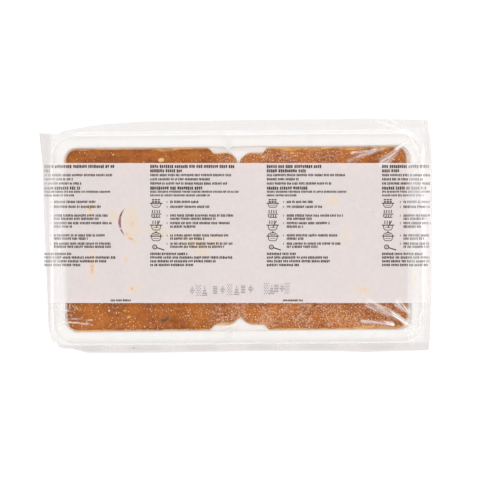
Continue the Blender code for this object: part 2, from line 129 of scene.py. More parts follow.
# Film beside the flange: bend, slope and wave, where the margin begins, and its base
FILM_OVERHANG = 0.6 * MM
FILM_BEND_WIDTH = 2.2 * MM
FILM_BEND_DROP = 1.4 * MM
FILM_MARGIN_SLOPE = 0.07
WAVE_START = 3.0 * MM
WAVE_RUN = 6.0 * MM
WAVE_SLANT = 0.6
MARGIN_BACK = 85.0 * MM
MARGIN_FRONT = -86.6 * MM
MARGIN_LEFT = -147.6 * MM
MARGIN_RIGHT = 151.8 * MM
FIN_MIN_WIDTH = 2.5 * MM
BASE_HALF_LENGTH = 133.6 * MM
BASE_HALF_WIDTH = 68.8 * MM

# Heights that follow
FLOOR_BOTTOM = CAD_FILM + GAP
FLOOR_TOP = FLOOR_BOTTOM + TRAY_WALL
FLANGE_TOP = FLOOR_BOTTOM + TRAY_HEIGHT
PACK_TOP = FLANGE_TOP + GAP + CAD_FILM
DECK = FLANGE_TOP - DECK_DEPTH
LUMP_CEILING = FLANGE_TOP - 0.1 * MM

# Film outline from above, in millimetres: (along, reach), or (across, reach) at the ends
BACK_EDGE = [(-157.2, 82.2), (-143.2, 81.2), (-137.0, 84.0), (-112.0, 88.7), (-76.0, 91.4),
             (104.0, 93.8), (119.0, 93.8), (153.8, 92.4)]
FRONT_EDGE = [(-146.8, -85.0), (-143.2, -88.6), (-137.0, -90.3), (-130.7, -90.5),
              (-118.0, -93.8), (-76.0, -93.8), (15.0, -92.2), (75.0, -92.2), (104.0, -93.0),
              (154.6, -91.6)]
LEFT_EDGE = [(-85.0, -146.8), (-71.4, -149.9), (-53.8, -150.2), (-3.4, -152.4),
             (58.2, -154.6), (82.2, -157.2)]
RIGHT_EDGE = [(-91.6, 154.6), (-83.0, 155.7), (-43.4, 156.8), (-3.4, 157.2), (56.6, 157.2),
              (72.6, 156.4), (92.4, 153.8)]

# High spots that show, in millimetres: (x, y, radius, rise)
SHOWN_LUMPS = [
    (-116.4, 22.2, 5.5, 3.6), (-114.8, -23.4, 9.0, 3.2), (-94.0, 9.0, 7.5, 3.4),
    (-83.0, 11.0, 9.5, 3.6), (-84.0, -3.0, 7.0, 3.2), (-82.8, -42.2, 5.0, 3.4),
    (-41.0, 1.0, 19.0, 3.0), (-15.6, -3.6, 7.0, 3.2), (-26.0, -12.0, 8.0, 3.0),
    (78.0, 27.0, 9.0, 3.4), (69.5, 24.0, 5.0, 3.0), (86.0, -6.6, 10.0, 3.0),
    (71.6, -29.8, 8.0, 3.2), (102.8, -43.4, 7.5, 3.4), (110.0, 19.0, 3.5, 3.2),
    (-59.6, 60.6, 4.0, 1.4), (45.2, 66.4, 3.0, 1.2), (-128.0, -57.0, 4.0, 1.5),
    (-56.4, -66.6, 3.5, 1.0), (-86.0, -64.2, 3.5, 1.2), (59.3, -56.0, 3.0, 1.0),
]

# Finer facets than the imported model's
OUTER_CORNER_STEPS = 24
DIVIDER_CORNER_STEPS = 16
RIM_FEET = (0.0, 2.2 * MM, LUG_FROM_DIVIDER - LUG_HALF, LUG_FROM_DIVIDER - LUG_HALF / 2,
            LUG_FROM_DIVIDER, LUG_FROM_DIVIDER + LUG_HALF / 2)
RUN_STATIONS = tuple(np.linspace(12.0 * MM, LEDGE_INNER, 6)) + tuple(
    np.linspace(LEDGE_INNER, LEDGE_OUTER, 7)[1:])
TRAY_RUN = {"long": 40, "end": 30, "divider": 1}
SOUP_RUN = {"long": 96, "end": 116, "divider": 124}

# Grain of the frozen surface: (height, wave length, seed, number of waves)
SOUP_GRAIN = [(0.22 * MM, 9.0 * MM, 3, 11), (0.14 * MM, 4.2 * MM, 4, 13)]

# Film sheet and the fineness of its mesh
FILM_SHEET = 0.1 * MM
FIN_THICKNESS = 0.3 * MM
FINE_STEP = 1.0 * MM
COARSE_STEP = 2.2 * MM
FINE_LEFT_OF = -112.0 * MM
FINE_RIGHT_OF = 88.0 * MM
FIN_STEPS = 5
LEFT_PULL = 8.0 * MM

# Slack of the sheet over the mouth: height, wave length, and the run in which it begins
FILM_SLACK = 0.16 * MM
FILM_SLACK_LENGTH = 34.0 * MM
FILM_SLACK_RUN = 8.0 * MM

# Clear sheet's tint, and the greyness of film past the flange and in the four margins
FILM_TINT = (0.985, 0.982, 0.978)
# The margins' greyness is partly two sheets lying together and partly a painted shadow of the pack
# on the floor below, darkest at the front
GREY_PAST_FLANGE = 0.18
GREY_BACK = 0.28
GREY_FRONT = 0.80
GREY_LEFT = 0.85
GREY_RIGHT = 0.45

# White printed band: its two straight edges, their softness, and how much the ink covers
BAND_BACK = 58.2 * MM
BAND_FRONT = -53.8 * MM
BAND_SOFT = 0.15 * MM
BAND_COVER = 0.665

# Creases of the top sheet, in millimetres:
# (x0, y0, x1, y1, half width at 0, half width at 1, whitening with a painted highlight, rise)
HAZE_AND_GLINT, RISE = 6, 7
CREASES = [
    (118.8, 58.6, 130.3, 69.2, 4.6, 1.3, 0.42, 0.7),
    (128.4, 69.2, 140.2, 78.2, 1.1, 1.0, 0.85, 0.8),
    (91.2, 59.8, 112.4, 69.8, 2.0, 1.8, 0.28, 0.5),
    (92.4, 66.2, 111.6, 69.2, 0.7, 0.6, 0.50, 0.3),
    (106.8, 65.4, 118.8, 69.8, 0.7, 0.6, 0.35, 0.3),
    (112.4, 91.8, 121.6, 88.4, 1.0, 1.2, 0.45, 0.25),
    (121.6, 88.4, 141.8, 82.2, 1.2, 1.0, 0.50, 0.3),
    (123.3, 93.4, 131.6, 88.9, 1.0, 1.0, 0.45, 0.25),
    (131.6, 88.9, 139.0, 85.6, 1.0, 1.0, 0.45, 0.25),
    (141.0, 79.0, 154.0, 88.0, 1.3, 0.8, 0.45, 0.3),
    (142.0, 76.0, 148.6, 60.0, 1.0, 1.4, 0.50, 0.3),
    (148.6, 60.0, 149.6, 20.0, 1.4, 1.0, 0.45, 0.2),
    (149.6, 20.0, 149.8, -52.0, 1.0, 1.2, 0.45, 0.2),
    (149.8, -52.0, 147.0, -74.0, 1.2, 1.2, 0.55, 0.3),
    (139.0, -71.0, 151.0, -84.0, 1.0, 1.0, 0.45, 0.3),
    (136.0, -76.0, 141.0, -87.0, 0.9, 0.8, 0.35, 0.25),
    (152.8, 78.0, 154.0, -78.0, 0.5, 0.5, 0.35, 0.1),
    (106.8, -54.4, 130.0, -65.0, 3.4, 2.8, 0.38, 0.7),
    (126.0, -62.2, 136.8, -70.1, 1.2, 1.9, 0.85, 0.8),
    (130.0, -54.4, 138.4, -61.0, 3.2, 1.4, 0.45, 0.6),
    (100.9, -68.4, 125.0, -70.2, 1.2, 1.9, 0.35, 0.4),
    (119.4, -69.6, 126.7, -71.3, 0.8, 0.9, 0.80, 0.3),
    (137.2, -66.6, 148.4, -72.2, 0.9, 0.8, 0.40, 0.6),
    (-143.0, -58.0, -139.0, 40.0, 0.9, 0.7, 0.22, 0.2),
    (-140.0, -72.0, -146.0, -81.0, 0.9, 0.8, 0.40, 0.3),
    (-144.5, -64.0, -149.0, -72.0, 0.8, 0.8, 0.35, 0.25),
    (-138.4, -59.8, -134.2, -60.0, 0.7, 0.6, 0.70, 0.3),
    (-134.7, -66.6, -114.8, -67.2, 0.5, 0.4, 0.40, 0.3),
    (-138.4, -69.2, -124.0, -70.0, 0.6, 0.5, 0.70, 0.4),
    (-125.0, -70.0, -114.0, -71.2, 0.5, 0.4, 0.40, 0.3),
    (-138.8, -59.0, -131.6, -60.0, 0.5, 0.4, 0.55, 0.2),
    (-139.0, -64.2, -131.0, -63.4, 0.4, 0.4, 0.40, 0.2),
    (-136.6, -54.6, -136.2, -63.0, 0.5, 0.4, 0.35, 0.2),
    (-132.6, -54.6, -132.2, -59.6, 0.5, 0.4, 0.30, 0.2),
]

# Streaks within the creases, partly whitening and partly painted highlight: they fan out from
# points by the four corners
STREAK_MIDDLE = (3.5 * MM, 3.5 * MM)
STREAK_CORNER = (143.5 * MM, 78.5 * MM)
STREAKS_A_RADIAN = 24.0
STREAK_LENGTH = 16.0 * MM

# Warm patches where the soup touches the printed film from below, in millimetres:
# (x, y, half length, half width, turn in degrees, strength)
TOUCHES = [
    (-116.4, 22.0, 3.4, 2.4, 80, 0.75), (-115.2, 16.0, 2.4, 1.6, 70, 0.45),
    (-114.8, -14.5, 7.0, 4.0, 80, 0.30), (-114.8, -26.0, 7.5, 2.4, 85, 0.60),
    (-115.5, -34.0, 3.5, 2.5, 90, 0.35),
    (-97.5, 17.5, 4.5, 3.5, 40, 0.45), (-98.5, 11.5, 3.0, 2.4, 20, 0.35),
    (-83.0, 10.0, 15.0, 5.5, 95, 0.46), (-88.0, 20.5, 1.8, 0.8, 60, 0.62),
    (-80.0, 24.0, 2.4, 0.8, 110, 0.50), (-87.6, 3.0, 3.4, 0.7, 115, 0.75),
    (-82.4, -3.4, 4.8, 1.0, 160, 0.85), (-84.0, -1.5, 6.5, 2.2, 160, 0.45),
    (-77.5, 3.5, 5.0, 2.8, 20, 0.35),
    (-87.4, -19.4, 2.6, 0.7, 95, 0.75), (-86.8, -28.5, 1.3, 0.7, 90, 0.35),
    (-82.8, -42.2, 4.6, 4.2, 0, 0.36), (-83.2, -42.6, 1.4, 1.1, 0, 0.80),
    (-85.8, -40.6, 0.7, 0.5, 0, 0.60), (-80.6, -44.2, 0.7, 0.5, 0, 0.60),
    (-81.0, -39.8, 0.6, 0.5, 0, 0.55), (-85.6, -44.6, 0.6, 0.5, 0, 0.55),
    (-75.6, -40.8, 2.4, 1.2, 70, 0.35), (-79.0, -37.0, 1.4, 1.0, 20, 0.30),
    (-57.0, 2.5, 16.0, 5.5, 170, 0.24), (-33.0, -5.0, 15.0, 6.0, 165, 0.28),
    (-15.6, -3.6, 4.5, 3.0, 20, 0.42), (-27.5, -13.5, 6.0, 3.2, 0, 0.38),
    (-59.0, -25.0, 7.0, 2.0, 175, 0.20),
    (78.0, 27.6, 5.4, 4.0, 0, 0.48), (68.8, 23.4, 2.2, 1.4, 60, 0.50),
    (72.2, 18.8, 2.4, 1.4, 110, 0.40), (110.0, 19.0, 1.3, 1.3, 0, 1.00),
    (88.0, -2.0, 9.0, 5.0, 80, 0.22), (76.0, -4.0, 4.0, 3.0, 0, 0.22),
    (66.5, -29.0, 2.4, 2.0, 120, 0.42), (79.8, -31.0, 2.6, 1.4, 60, 0.36),
    (88.0, -20.0, 5.0, 3.0, 80, 0.20),
    (102.8, -43.0, 5.6, 3.4, 4, 0.55), (97.6, -44.0, 1.0, 2.6, 0, 0.45),
    (143.2, -33.8, 1.2, 4.6, 0, 0.55),
]

# Dark gap in the printed white: an arc with its middle, radius and the span in degrees
GAP_ARC_MIDDLE = (-76.2 * MM, 11.0 * MM)
GAP_ARC_RADIUS = 16.5 * MM
GAP_ARC_HALF_SPAN = math.radians(41.0)
GAP_ARC_HALF_WIDTH = 1.0 * MM
GAP_SOFT = 0.3 * MM
GAP_BRIDGE_Y = -5.3 * MM
GAP_BRIDGE_HALF = (0.3 * MM, 1.0 * MM)

# Paler line of fat where the two blocks' tops met, from the tray's middle
SEAM_LINE_X = 4.6 * MM
SEAM_LINE_SWAY = 0.3 * MM
SEAM_LINE_SWAY_RUN = 2.6 * MM
SEAM_LINE_HALF = 0.1 * MM
SEAM_LINE_FADE = 0.9 * MM
SEAM_LINE_STRENGTH = 0.7

# Join between the two blocks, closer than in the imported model
JOIN_GAP = 0.08 * MM

# Fat along the soup's rim, in millimetres: its width where it is thin, what thick fat
# adds, how it fades, and its thick places as (x, y, radius)
RIM_WIDTH, RIM_FAT_WIDTH, RIM_FADE = 0.7, 3.2, 1.3
RIM_FAT = [
    (112.0, -71.0, 16.0), (132.0, -69.0, 6.0), (-8.0, -66.0, 6.0), (6.0, -63.0, 3.5),
    (14.0, -64.0, 4.0), (24.0, -69.0, 4.0), (44.0, 70.5, 7.0), (64.0, 71.5, 9.0),
    (92.0, 72.0, 12.0), (118.0, 71.0, 6.0), (-56.0, 69.5, 8.0), (-124.0, 62.0, 8.0),
]

# Frost grains on the soup: tried in two strips, in millimetres, with a chance for each
FROST_SEED = 21
FROST_TRIES = 20000
FROST_APART = 1.7 * MM
FROST_HALF_RUN = 140.0
FROST_STRIPS = [(-78.0, -52.0), (56.0, 76.0)]
FROST_CHANCES = [0.62, 0.38]

# Small pieces of vegetable, meat and leaf in the soup's surface, in millimetres:
# (x, y, length, width, rise, turn in degrees, kind)
BITS = [
    (-59.6, 60.6, 4.6, 3.2, 0.6, 10, "cream"), (45.2, 66.4, 3.6, 1.9, 0.8, 5, "yolk"),
    (-56.4, -67.2, 6.6, 2.2, 0.9, 32, "leaf"), (-64.6, -69.4, 4.4, 2.8, 0.8, -40, "red"),
    (-68.0, -66.2, 2.4, 1.6, 0.6, 20, "red"), (-93.6, -73.8, 2.6, 1.4, 0.6, 0, "red"),
    (-129.4, -57.2, 6.0, 1.1, 0.9, -50, "straw"), (-127.2, -57.6, 5.6, 1.2, 0.9, -54, "straw"),
    (-124.8, -58.0, 4.2, 0.9, 0.8, -48, "straw"), (-129.6, -61.2, 3.0, 0.8, 0.7, -60, "straw"),
    (-96.6, -57.8, 4.2, 2.0, 0.5, 0, "grey"), (-101.0, -59.8, 1.6, 1.4, 0.6, 0, "white"),
    (-88.6, -60.2, 2.8, 2.0, 0.7, 30, "yolk"), (-85.3, -65.0, 3.0, 2.4, 0.8, 0, "yolk"),
    (59.3, -56.0, 3.4, 2.6, 0.8, 0, "yolk"), (-38.0, -64.0, 2.6, 2.0, 0.6, 0, "yolk"),
    (74.0, -66.5, 2.2, 1.8, 0.6, 0, "yolk"), (22.0, 63.0, 2.2, 1.6, 0.6, 10, "cream"),
    (-18.0, -70.5, 2.6, 1.2, 0.5, 15, "red"), (104.0, -60.5, 2.4, 1.8, 0.6, 50, "red"),
    (-98.0, 65.0, 2.0, 1.4, 0.5, 0, "cream"), (130.5, -72.2, 3.4, 2.0, 0.6, -10, "yolk"),
]
BIT_COLOURS = {
    "cream": (246, 206, 138), "yolk": (238, 168, 72), "leaf": (92, 84, 56),
    "red": (176, 78, 50), "straw": (230, 184, 132), "grey": (170, 128, 98),
    "white": (240, 228, 214),
}

# Print: rows across the band, from the back, as (y, height, weight)
PRINT_SEED = 5
BOLD, PLAIN, SMALL = (2.7, 1.35), (2.1, 0.5), (1.8, 0.4)
TITLE_ROWS = [(55.4, BOLD), (51.9, BOLD), (48.5, PLAIN), (45.2, PLAIN), (41.8, PLAIN),
              (38.1, BOLD), (35.2, SMALL), (32.3, SMALL)]
STEP_ROWS = [27.1, 23.2, 16.2, 13.6, 10.1, 7.3, 0.3, -2.3, -6.3, -8.8]
STEP_STARTS = [True, True, True, False, True, False, True, False, True, False]
CLOSING_ROWS = [-14.5, -17.4, -20.4, -23.4]
CLOSING = (2.1, 0.75)
CODE = (1.7, 0.8)

# Upright ticks of the printed rows, in millimetres: how many in a group, their width, what
# a row's weight adds to it and to their space, that space, and their height as a share
GROUP_TICKS = (2, 10)
TICK_WIDTHS = (0.44, 0.68)
TICK_WEIGHTS = (0.34, 0.6)
TICK_WEIGHT_SPACE = 0.06
TICK_SPACES = (0.22, 0.42)
TICK_HEIGHTS = (0.78, 1.0)
GROUP_SPACE = 0.34

# Print columns, in millimetres: left edge, left edge of the steps, and where rows end
COLUMNS = [
    {"left": -153.0, "steps": -145.2, "icons": False,
     "titles": [-95.8, -148.2, -97.8, -129.4, -122.6, -124.4, -99.0, -128.2],
     "step_ends": [-111.8, -107.8, -101.8, -108.8, -98.1, -130.6, -104.6, -118.0, -99.3, -99.6],
     "closing": [-129.4, -95.8, -102.7, -124.1]},
    {"left": -68.2, "steps": -52.2, "icons": True,
     "titles": [1.1, -41.8, -3.2, -20.0, -5.9, -25.4, 3.0, -19.3],
     "step_ends": [-29.2, -20.0, -1.4, -15.4, -3.5, -30.8, -5.2, -25.0, -1.4, -8.6],
     "closing": [-37.6, -1.7, -15.4, -33.0]},
    {"left": 25.1, "steps": 41.0, "icons": True,
     "titles": [69.4, 57.9, 87.9, 50.7, 76.7, 57.9, 90.2, 50.2],
     "step_ends": [62.6, 70.0, 86.2, 61.8, 75.2, 54.4, 82.1, 54.6, 84.4, 66.0],
     "closing": [48.7, 74.0, 76.4, 51.2]},
    {"left": 117.3, "steps": 134.4, "icons": True,
     "titles": [156.4, 132.2, 156.4, 151.0, 156.4, 154.0, 156.6, 151.6],
     "step_ends": [156.4, 156.4, 156.4, 153.0, 156.4, 149.0, 156.4, 151.0, 156.4, 156.0],
     "closing": [150.8, 156.2, 156.2, 155.0]},
]
ICON_TOPS = [29.7, 20.6, 12.1, 3.5, -7.0]
SIGN_LINE = 0.6
CODE_PLACES = [(-99.8, -83.0), (38.0, 54.8)]
CODE_Y = -51.7
DOTTED_GROUPS = [(-36.4, 3, 5.0), (-17.6, 6, 5.6), (23.2, 5, 4.1)]
DOTTED_Y = -43.0
DOTTED_SLOPE = 0.026
DOT_PITCH = (0.86, 1.32)
DOT_RADIUS = 0.4
STRAY_DOT = (-81.4, -90.0, 0.5)

# Soft lamps: (name, place, size, watts)
SOFTBOXES = [
    ("softbox_back", (0.2, 1.1, 1.3), (1.0, 0.5), 5.2),
    ("softbox_front", (0.0, -1.1, 1.3), (1.0, 0.5), 1.7),
    ("softbox_left", (-1.2, -0.2, 1.0), (0.5, 0.9), 5.0),
    ("softbox_right", (1.2, 0.1, 1.1), (0.4, 0.8), 5.0),
]


# Small helpers

def srgb(red, green, blue):
    """A colour read off the photograph on its 0 to 255 scale, as linear light."""
    scaled = [value / 255.0 for value in (red, green, blue)]
    return tuple(v / 12.92 if v <= 0.04045 else ((v + 0.055) / 1.055) ** 2.4 for v in scaled)


def smooth_step(value):
    """0 below 0, 1 above 1, and an even S between."""
    value = np.clip(value, 0.0, 1.0)
    return value * value * (3.0 - 2.0 * value)


def reach_along(outline, position):
    """Reads an outline given in millimetres at a position in metres."""
    places, reaches = zip(*outline)
    return np.interp(np.asarray(position) / MM, places, reaches) * MM


def between(start, end, steps):
    """The points that split a straight run into steps, without its two ends."""
    start, end = np.array(start), np.array(end)
    return [tuple(start + (end - start) * k / steps) for k in range(1, steps)]


def arc(centre, radius, toward_x, toward_y, first, last, steps):
    """Points of a corner's arc, with angles in degrees from the X side to the Y side."""
    angles = [math.radians(first + (last - first) * k / steps) for k in range(steps + 1)]
    return [(centre[0] + toward_x * radius * math.cos(a),
             centre[1] + toward_y * radius * math.sin(a)) for a in angles]


def ripples(x, y, length, seed, count=7):
    """Smooth uneven waves of about one length, between -1 and 1 for the most part."""
    draw = np.random.RandomState(seed)
    total = np.zeros(np.broadcast(x, y).shape)
    for _ in range(count):
        heading, stretch = draw.uniform(0, math.pi), draw.uniform(0.7, 1.5)
        phase = draw.uniform(0, 7)
        along = np.asarray(x) * math.cos(heading) + np.asarray(y) * math.sin(heading)
        total = total + np.sin(2 * math.pi * along / (length * stretch) + phase)
    return total / math.sqrt(count)


def into_tray(x, y):
    """A place in the pack, seen from the tray's middle along the tray's own sides."""
    away_x, away_y = x - TRAY_CENTRE[0], y - TRAY_CENTRE[1]
    turn_cos, turn_sin = math.cos(TRAY_TURN), math.sin(TRAY_TURN)
    return away_x * turn_cos + away_y * turn_sin, away_y * turn_cos - away_x * turn_sin


class Skin:
    """Points and faces of one mesh, gathered ring by ring."""

    def __init__(self):
        self.points = []
        self.faces = []

    def add(self, points):
        start = len(self.points)
        self.points.extend(tuple(float(v) for v in point) for point in points)
        return list(range(start, len(self.points)))

    def bridge(self, first, second, closed, flip):
        count = len(first)
        for k in range(count if closed else count - 1):
            n = (k + 1) % count
            corners = [first[k], first[n], second[n], second[k]]
            self.faces.append(corners[::-1] if flip else corners)

    def make(self, name, materials, smooth_angle, weld=0.0):
        data = bpy.data.meshes.new(name)
        data.from_pydata(self.points, [], self.faces)
        if weld:
            mesh = bmesh.new()
            mesh.from_mesh(data)
            bmesh.ops.remove_doubles(mesh, verts=mesh.verts, dist=weld)
            mesh.to_mesh(data)
            mesh.free()
        data.shade_smooth()
        data.set_sharp_from_angle(angle=math.radians(smooth_angle))
        for material in materials:
            data.materials.append(material)
        piece = bpy.data.objects.new(name, data)
        bpy.context.scene.collection.objects.link(piece)
        return piece


def thicken(piece, name, thickness):
    """Gives an open skin its thickness, on the side that its faces look away from."""
    wall = piece.modifiers.new(name, "SOLIDIFY")
    wall.thickness = thickness
    wall.offset = -1.0
    return wall


def lay_in_pack(piece):
    """Moves a piece that was built round the tray's middle to the tray's place."""
    piece.location = (*TRAY_CENTRE, 0.0)
    piece.rotation_euler = (0.0, 0.0, TRAY_TURN)


def add_attribute(piece, name, values):
    """Keeps one number for each point of a piece, for its material to read."""
    attribute = piece.data.attributes.new(name, "FLOAT", "POINT")
    attribute.data.foreach_set("value", np.asarray(values, np.float32).ravel())


# Materials

class Shading:
    """The nodes of one material or world, built by short calls."""

    def __init__(self, name, kept_in=bpy.data.materials):
        self.owner = kept_in.new(name)
        self.owner.use_nodes = True
        self.tree = self.owner.node_tree
        self.tree.nodes.clear()

    def add(self, kind, inputs=None, **settings):
        made = self.tree.nodes.new(kind)
        for setting, value in settings.items():
            setattr(made, setting, value)
        for socket, value in (inputs or {}).items():
            if isinstance(value, bpy.types.NodeSocket):
                self.tree.links.new(value, made.inputs[socket])
            elif isinstance(value, tuple) and made.inputs[socket].type == "RGBA":
                made.inputs[socket].default_value = (*value, 1.0)
            else:
                made.inputs[socket].default_value = value
        return made

    def place(self):
        return self.add("ShaderNodeTexCoord").outputs["Object"]

    def stretched(self, scale):
        return self.add("ShaderNodeMapping", {"Vector": self.place(), "Scale": scale}).outputs[0]

    def noise(self, scale, detail=3.0, vector=None, rough=0.5):
        inputs = {"Vector": vector or self.place(), "Scale": scale, "Detail": detail,
                  "Roughness": rough}
        return self.add("ShaderNodeTexNoise", inputs).outputs["Fac"]

    def cells(self, scale):
        inputs = {"Vector": self.place(), "Scale": scale}
        return self.add("ShaderNodeTexVoronoi", inputs).outputs["Distance"]

    def math(self, operation, first, second=0.5):
        return self.add("ShaderNodeMath", {0: first, 1: second}, operation=operation).outputs[0]

    def times(self, first, *others):
        for other in others:
            first = self.math("MULTIPLY", first, other)
        return first

    def apart(self, value, middle):
        return self.math("ABSOLUTE", self.math("SUBTRACT", value, middle))

    def span(self, value, low, high, to_low=0.0, to_high=1.0):
        """Carries low..high to to_low..to_high smoothly, held beyond both ends."""
        inputs = {"Value": value, "From Min": low, "From Max": high, "To Min": to_low,
                  "To Max": to_high}
        made = self.add("ShaderNodeMapRange", inputs, interpolation_type="SMOOTHSTEP")
        return made.outputs["Result"]

    def blend(self, factor, first, second):
        inputs = {0: factor, 6: first, 7: second}
        return self.add("ShaderNodeMix", inputs, data_type="RGBA").outputs[2]

    def attribute(self, name):
        return self.add("ShaderNodeAttribute", attribute_name=name).outputs["Fac"]

    def bump(self, height, distance, strength=1.0):
        inputs = {"Height": height, "Distance": distance, "Strength": strength}
        return self.add("ShaderNodeBump", inputs).outputs["Normal"]

    def principled(self, colour, roughness, normal=None, **others):
        inputs = {"Base Color": colour, "Roughness": roughness, **others}
        if normal is not None:
            inputs["Normal"] = normal
        return self.add("ShaderNodeBsdfPrincipled", inputs).outputs[0]

    def mix(self, factor, first, second):
        return self.add("ShaderNodeMixShader", {0: factor, 1: first, 2: second}).outputs[0]

    def clear_sheet(self):
        return self.add("ShaderNodeBsdfTransparent", {"Color": FILM_TINT}).outputs[0]

    def glossed(self, surface, roughness, straight, grazing, **normal):
        """A thin sheet's mirroring over a surface: alike from both of its sides."""
        facing = self.add("ShaderNodeLayerWeight", {"Blend": 0.5, **normal}).outputs["Facing"]
        steep = self.times(self.math("POWER", facing, 4.0), grazing)
        gloss = self.add("ShaderNodeBsdfAnisotropic", {
            "Color": (1.0, 1.0, 1.0), "Roughness": roughness, **normal}).outputs[0]
        return self.mix(self.math("ADD", steep, straight), surface, gloss)

    def finish(self, surface, output="ShaderNodeOutputMaterial"):
        self.add(output, {"Surface": surface})
        return self.owner


def corner_streaks_and_glints(n, where):
    """Fine streaks that run out from the pack's four corners: whitening of stretched film with
    painted highlights on it.
    """
    aside, across = [n.math("SUBTRACT", n.apart(where.outputs[axis], middle), half)
                     for axis, middle, half in zip("XY", STREAK_MIDDLE, STREAK_CORNER)]
    away = n.math("SQRT", n.math("ADD", n.times(aside, aside), n.times(across, across)))
    fanned = n.add("ShaderNodeCombineXYZ", {
        "X": n.times(n.math("ARCTAN2", across, aside), STREAKS_A_RADIAN),
        "Y": n.math("DIVIDE", away, STREAK_LENGTH)}).outputs[0]
    return n.span(n.noise(1.0, vector=fanned), 0.36, 0.62, 0.35, 1.4)


def torn_gap(n, where):
    """Where the printed white is torn open: an arc left of its middle, with a bridge."""
    flat = n.add("ShaderNodeCombineXYZ", {axis: where.outputs[axis] for axis in "XY"}).outputs[0]
    from_middle = n.add("ShaderNodeVectorMath", {0: flat, 1: (*GAP_ARC_MIDDLE, 0.0)},
                        operation="SUBTRACT").outputs[0]
    radius = n.add("ShaderNodeVectorMath", {0: from_middle}, operation="LENGTH").outputs["Value"]
    turn = n.add("ShaderNodeSeparateXYZ", {0: from_middle}).outputs
    lean = n.math("DIVIDE", turn["Y"], GAP_ARC_RADIUS * math.sin(GAP_ARC_HALF_SPAN))
    narrow = n.math("SUBTRACT", 1.0, n.times(lean, lean))
    off_arc = n.apart(radius, GAP_ARC_RADIUS)
    inside = n.math("SUBTRACT", n.times(narrow, GAP_ARC_HALF_WIDTH), off_arc)
    return n.times(n.span(inside, -GAP_SOFT, GAP_SOFT), n.math("LESS_THAN", turn["X"], 0.0),
                   n.span(n.apart(turn["Y"], GAP_BRIDGE_Y), *GAP_BRIDGE_HALF),
                   n.span(n.noise(500.0, 2.0), 0.3, 0.55, 0.55, 1.0))


def film_clear_material():
    """The sheet's inner face: nearly nothing but a little gloss."""
    n = Shading("film_clear")
    return n.finish(n.glossed(n.clear_sheet(), 0.12, 0.014, 0.35))


def film_printed_material():
    """The sheet's outer face: clear, with white ink in the band, warm touches, haze, painted
    highlights on the creases, and grey margins partly a painted shadow.
    """
    n = Shading("film_printed")
    where = n.add("ShaderNodeSeparateXYZ", {0: n.place()})
    across = where.outputs["Y"]
    band = n.times(n.span(across, BAND_FRONT - BAND_SOFT, BAND_FRONT + BAND_SOFT),
                   n.span(across, BAND_BACK - BAND_SOFT, BAND_BACK + BAND_SOFT, 1.0, 0.0),
                   n.attribute("top_sheet"))
    touch = n.times(n.attribute("touch"), n.span(n.noise(420.0), 0.25, 0.6, 0.45, 1.15))
    warm = n.math("ADD", touch, n.span(n.noise(55.0), 0.35, 0.75, 0.0, 0.10))
    mottle = n.span(n.noise(260.0, 4.0), 0.3, 0.7)
    ink = n.blend(mottle, srgb(254, 249, 249), srgb(250, 245, 245))
    ink = n.blend(n.span(warm, 0.05, 0.45), ink, srgb(255, 240, 222))
    ink = n.blend(n.span(warm, 0.42, 0.95), ink, srgb(242, 172, 104))
    cover = n.times(n.math("ADD", BAND_COVER, n.times(warm, 0.10)),
                    n.math("SUBTRACT", 1.0, torn_gap(n, where)))
    relief = n.bump(n.noise(90.0, vector=n.stretched((1.0, 1.6, 1.0))), 0.25 * MM, 0.35)
    sheet = n.mix(n.times(band, cover), n.clear_sheet(), n.principled(ink, 0.42, relief))
    # Painted highlights along the creases, with the film's own whitening there, and a faint even
    # haze
    streaked_haze_and_glint = n.times(n.attribute("crease_haze_and_glint"), corner_streaks_and_glints(n, where))
    veil_and_glint = n.math("ADD", streaked_haze_and_glint, n.span(n.noise(160.0, 5.0), 0.5, 0.8, 0.0, 0.03))
    sheet = n.mix(veil_and_glint, sheet, n.principled(srgb(252, 248, 246), 0.35, relief))
    # Grey margins: partly the sheets lying together, partly a painted shadow of the pack on the
    # floor
    sheet = n.mix(n.attribute("layers_and_painted_shadow"), sheet, n.principled(srgb(219, 213, 212), 0.4, relief))
    return n.finish(n.glossed(sheet, 0.10, 0.022, 0.45, Normal=relief))


def tray_material():
    """White thermoformed plastic, faintly mottled, with fine scuffs."""
    n = Shading("tray_plastic")
    mottle = n.span(n.noise(45.0, 4.0), 0.35, 0.65)
    colour = n.blend(mottle, srgb(250, 245, 242), srgb(252, 248, 246))
    rough = n.span(n.noise(300.0, 4.0, n.stretched((1.0, 0.15, 1.0))), 0.35, 0.7, 0.32, 0.50)
    relief = n.bump(n.noise(700.0, 3.0), 0.12 * MM, 0.25)
    glow = {"Subsurface Weight": 0.6, "Subsurface Radius": (1.0, 0.9, 0.85),
            "Subsurface Scale": 4.0 * MM}
    return n.finish(n.principled(colour, rough, relief, **glow))


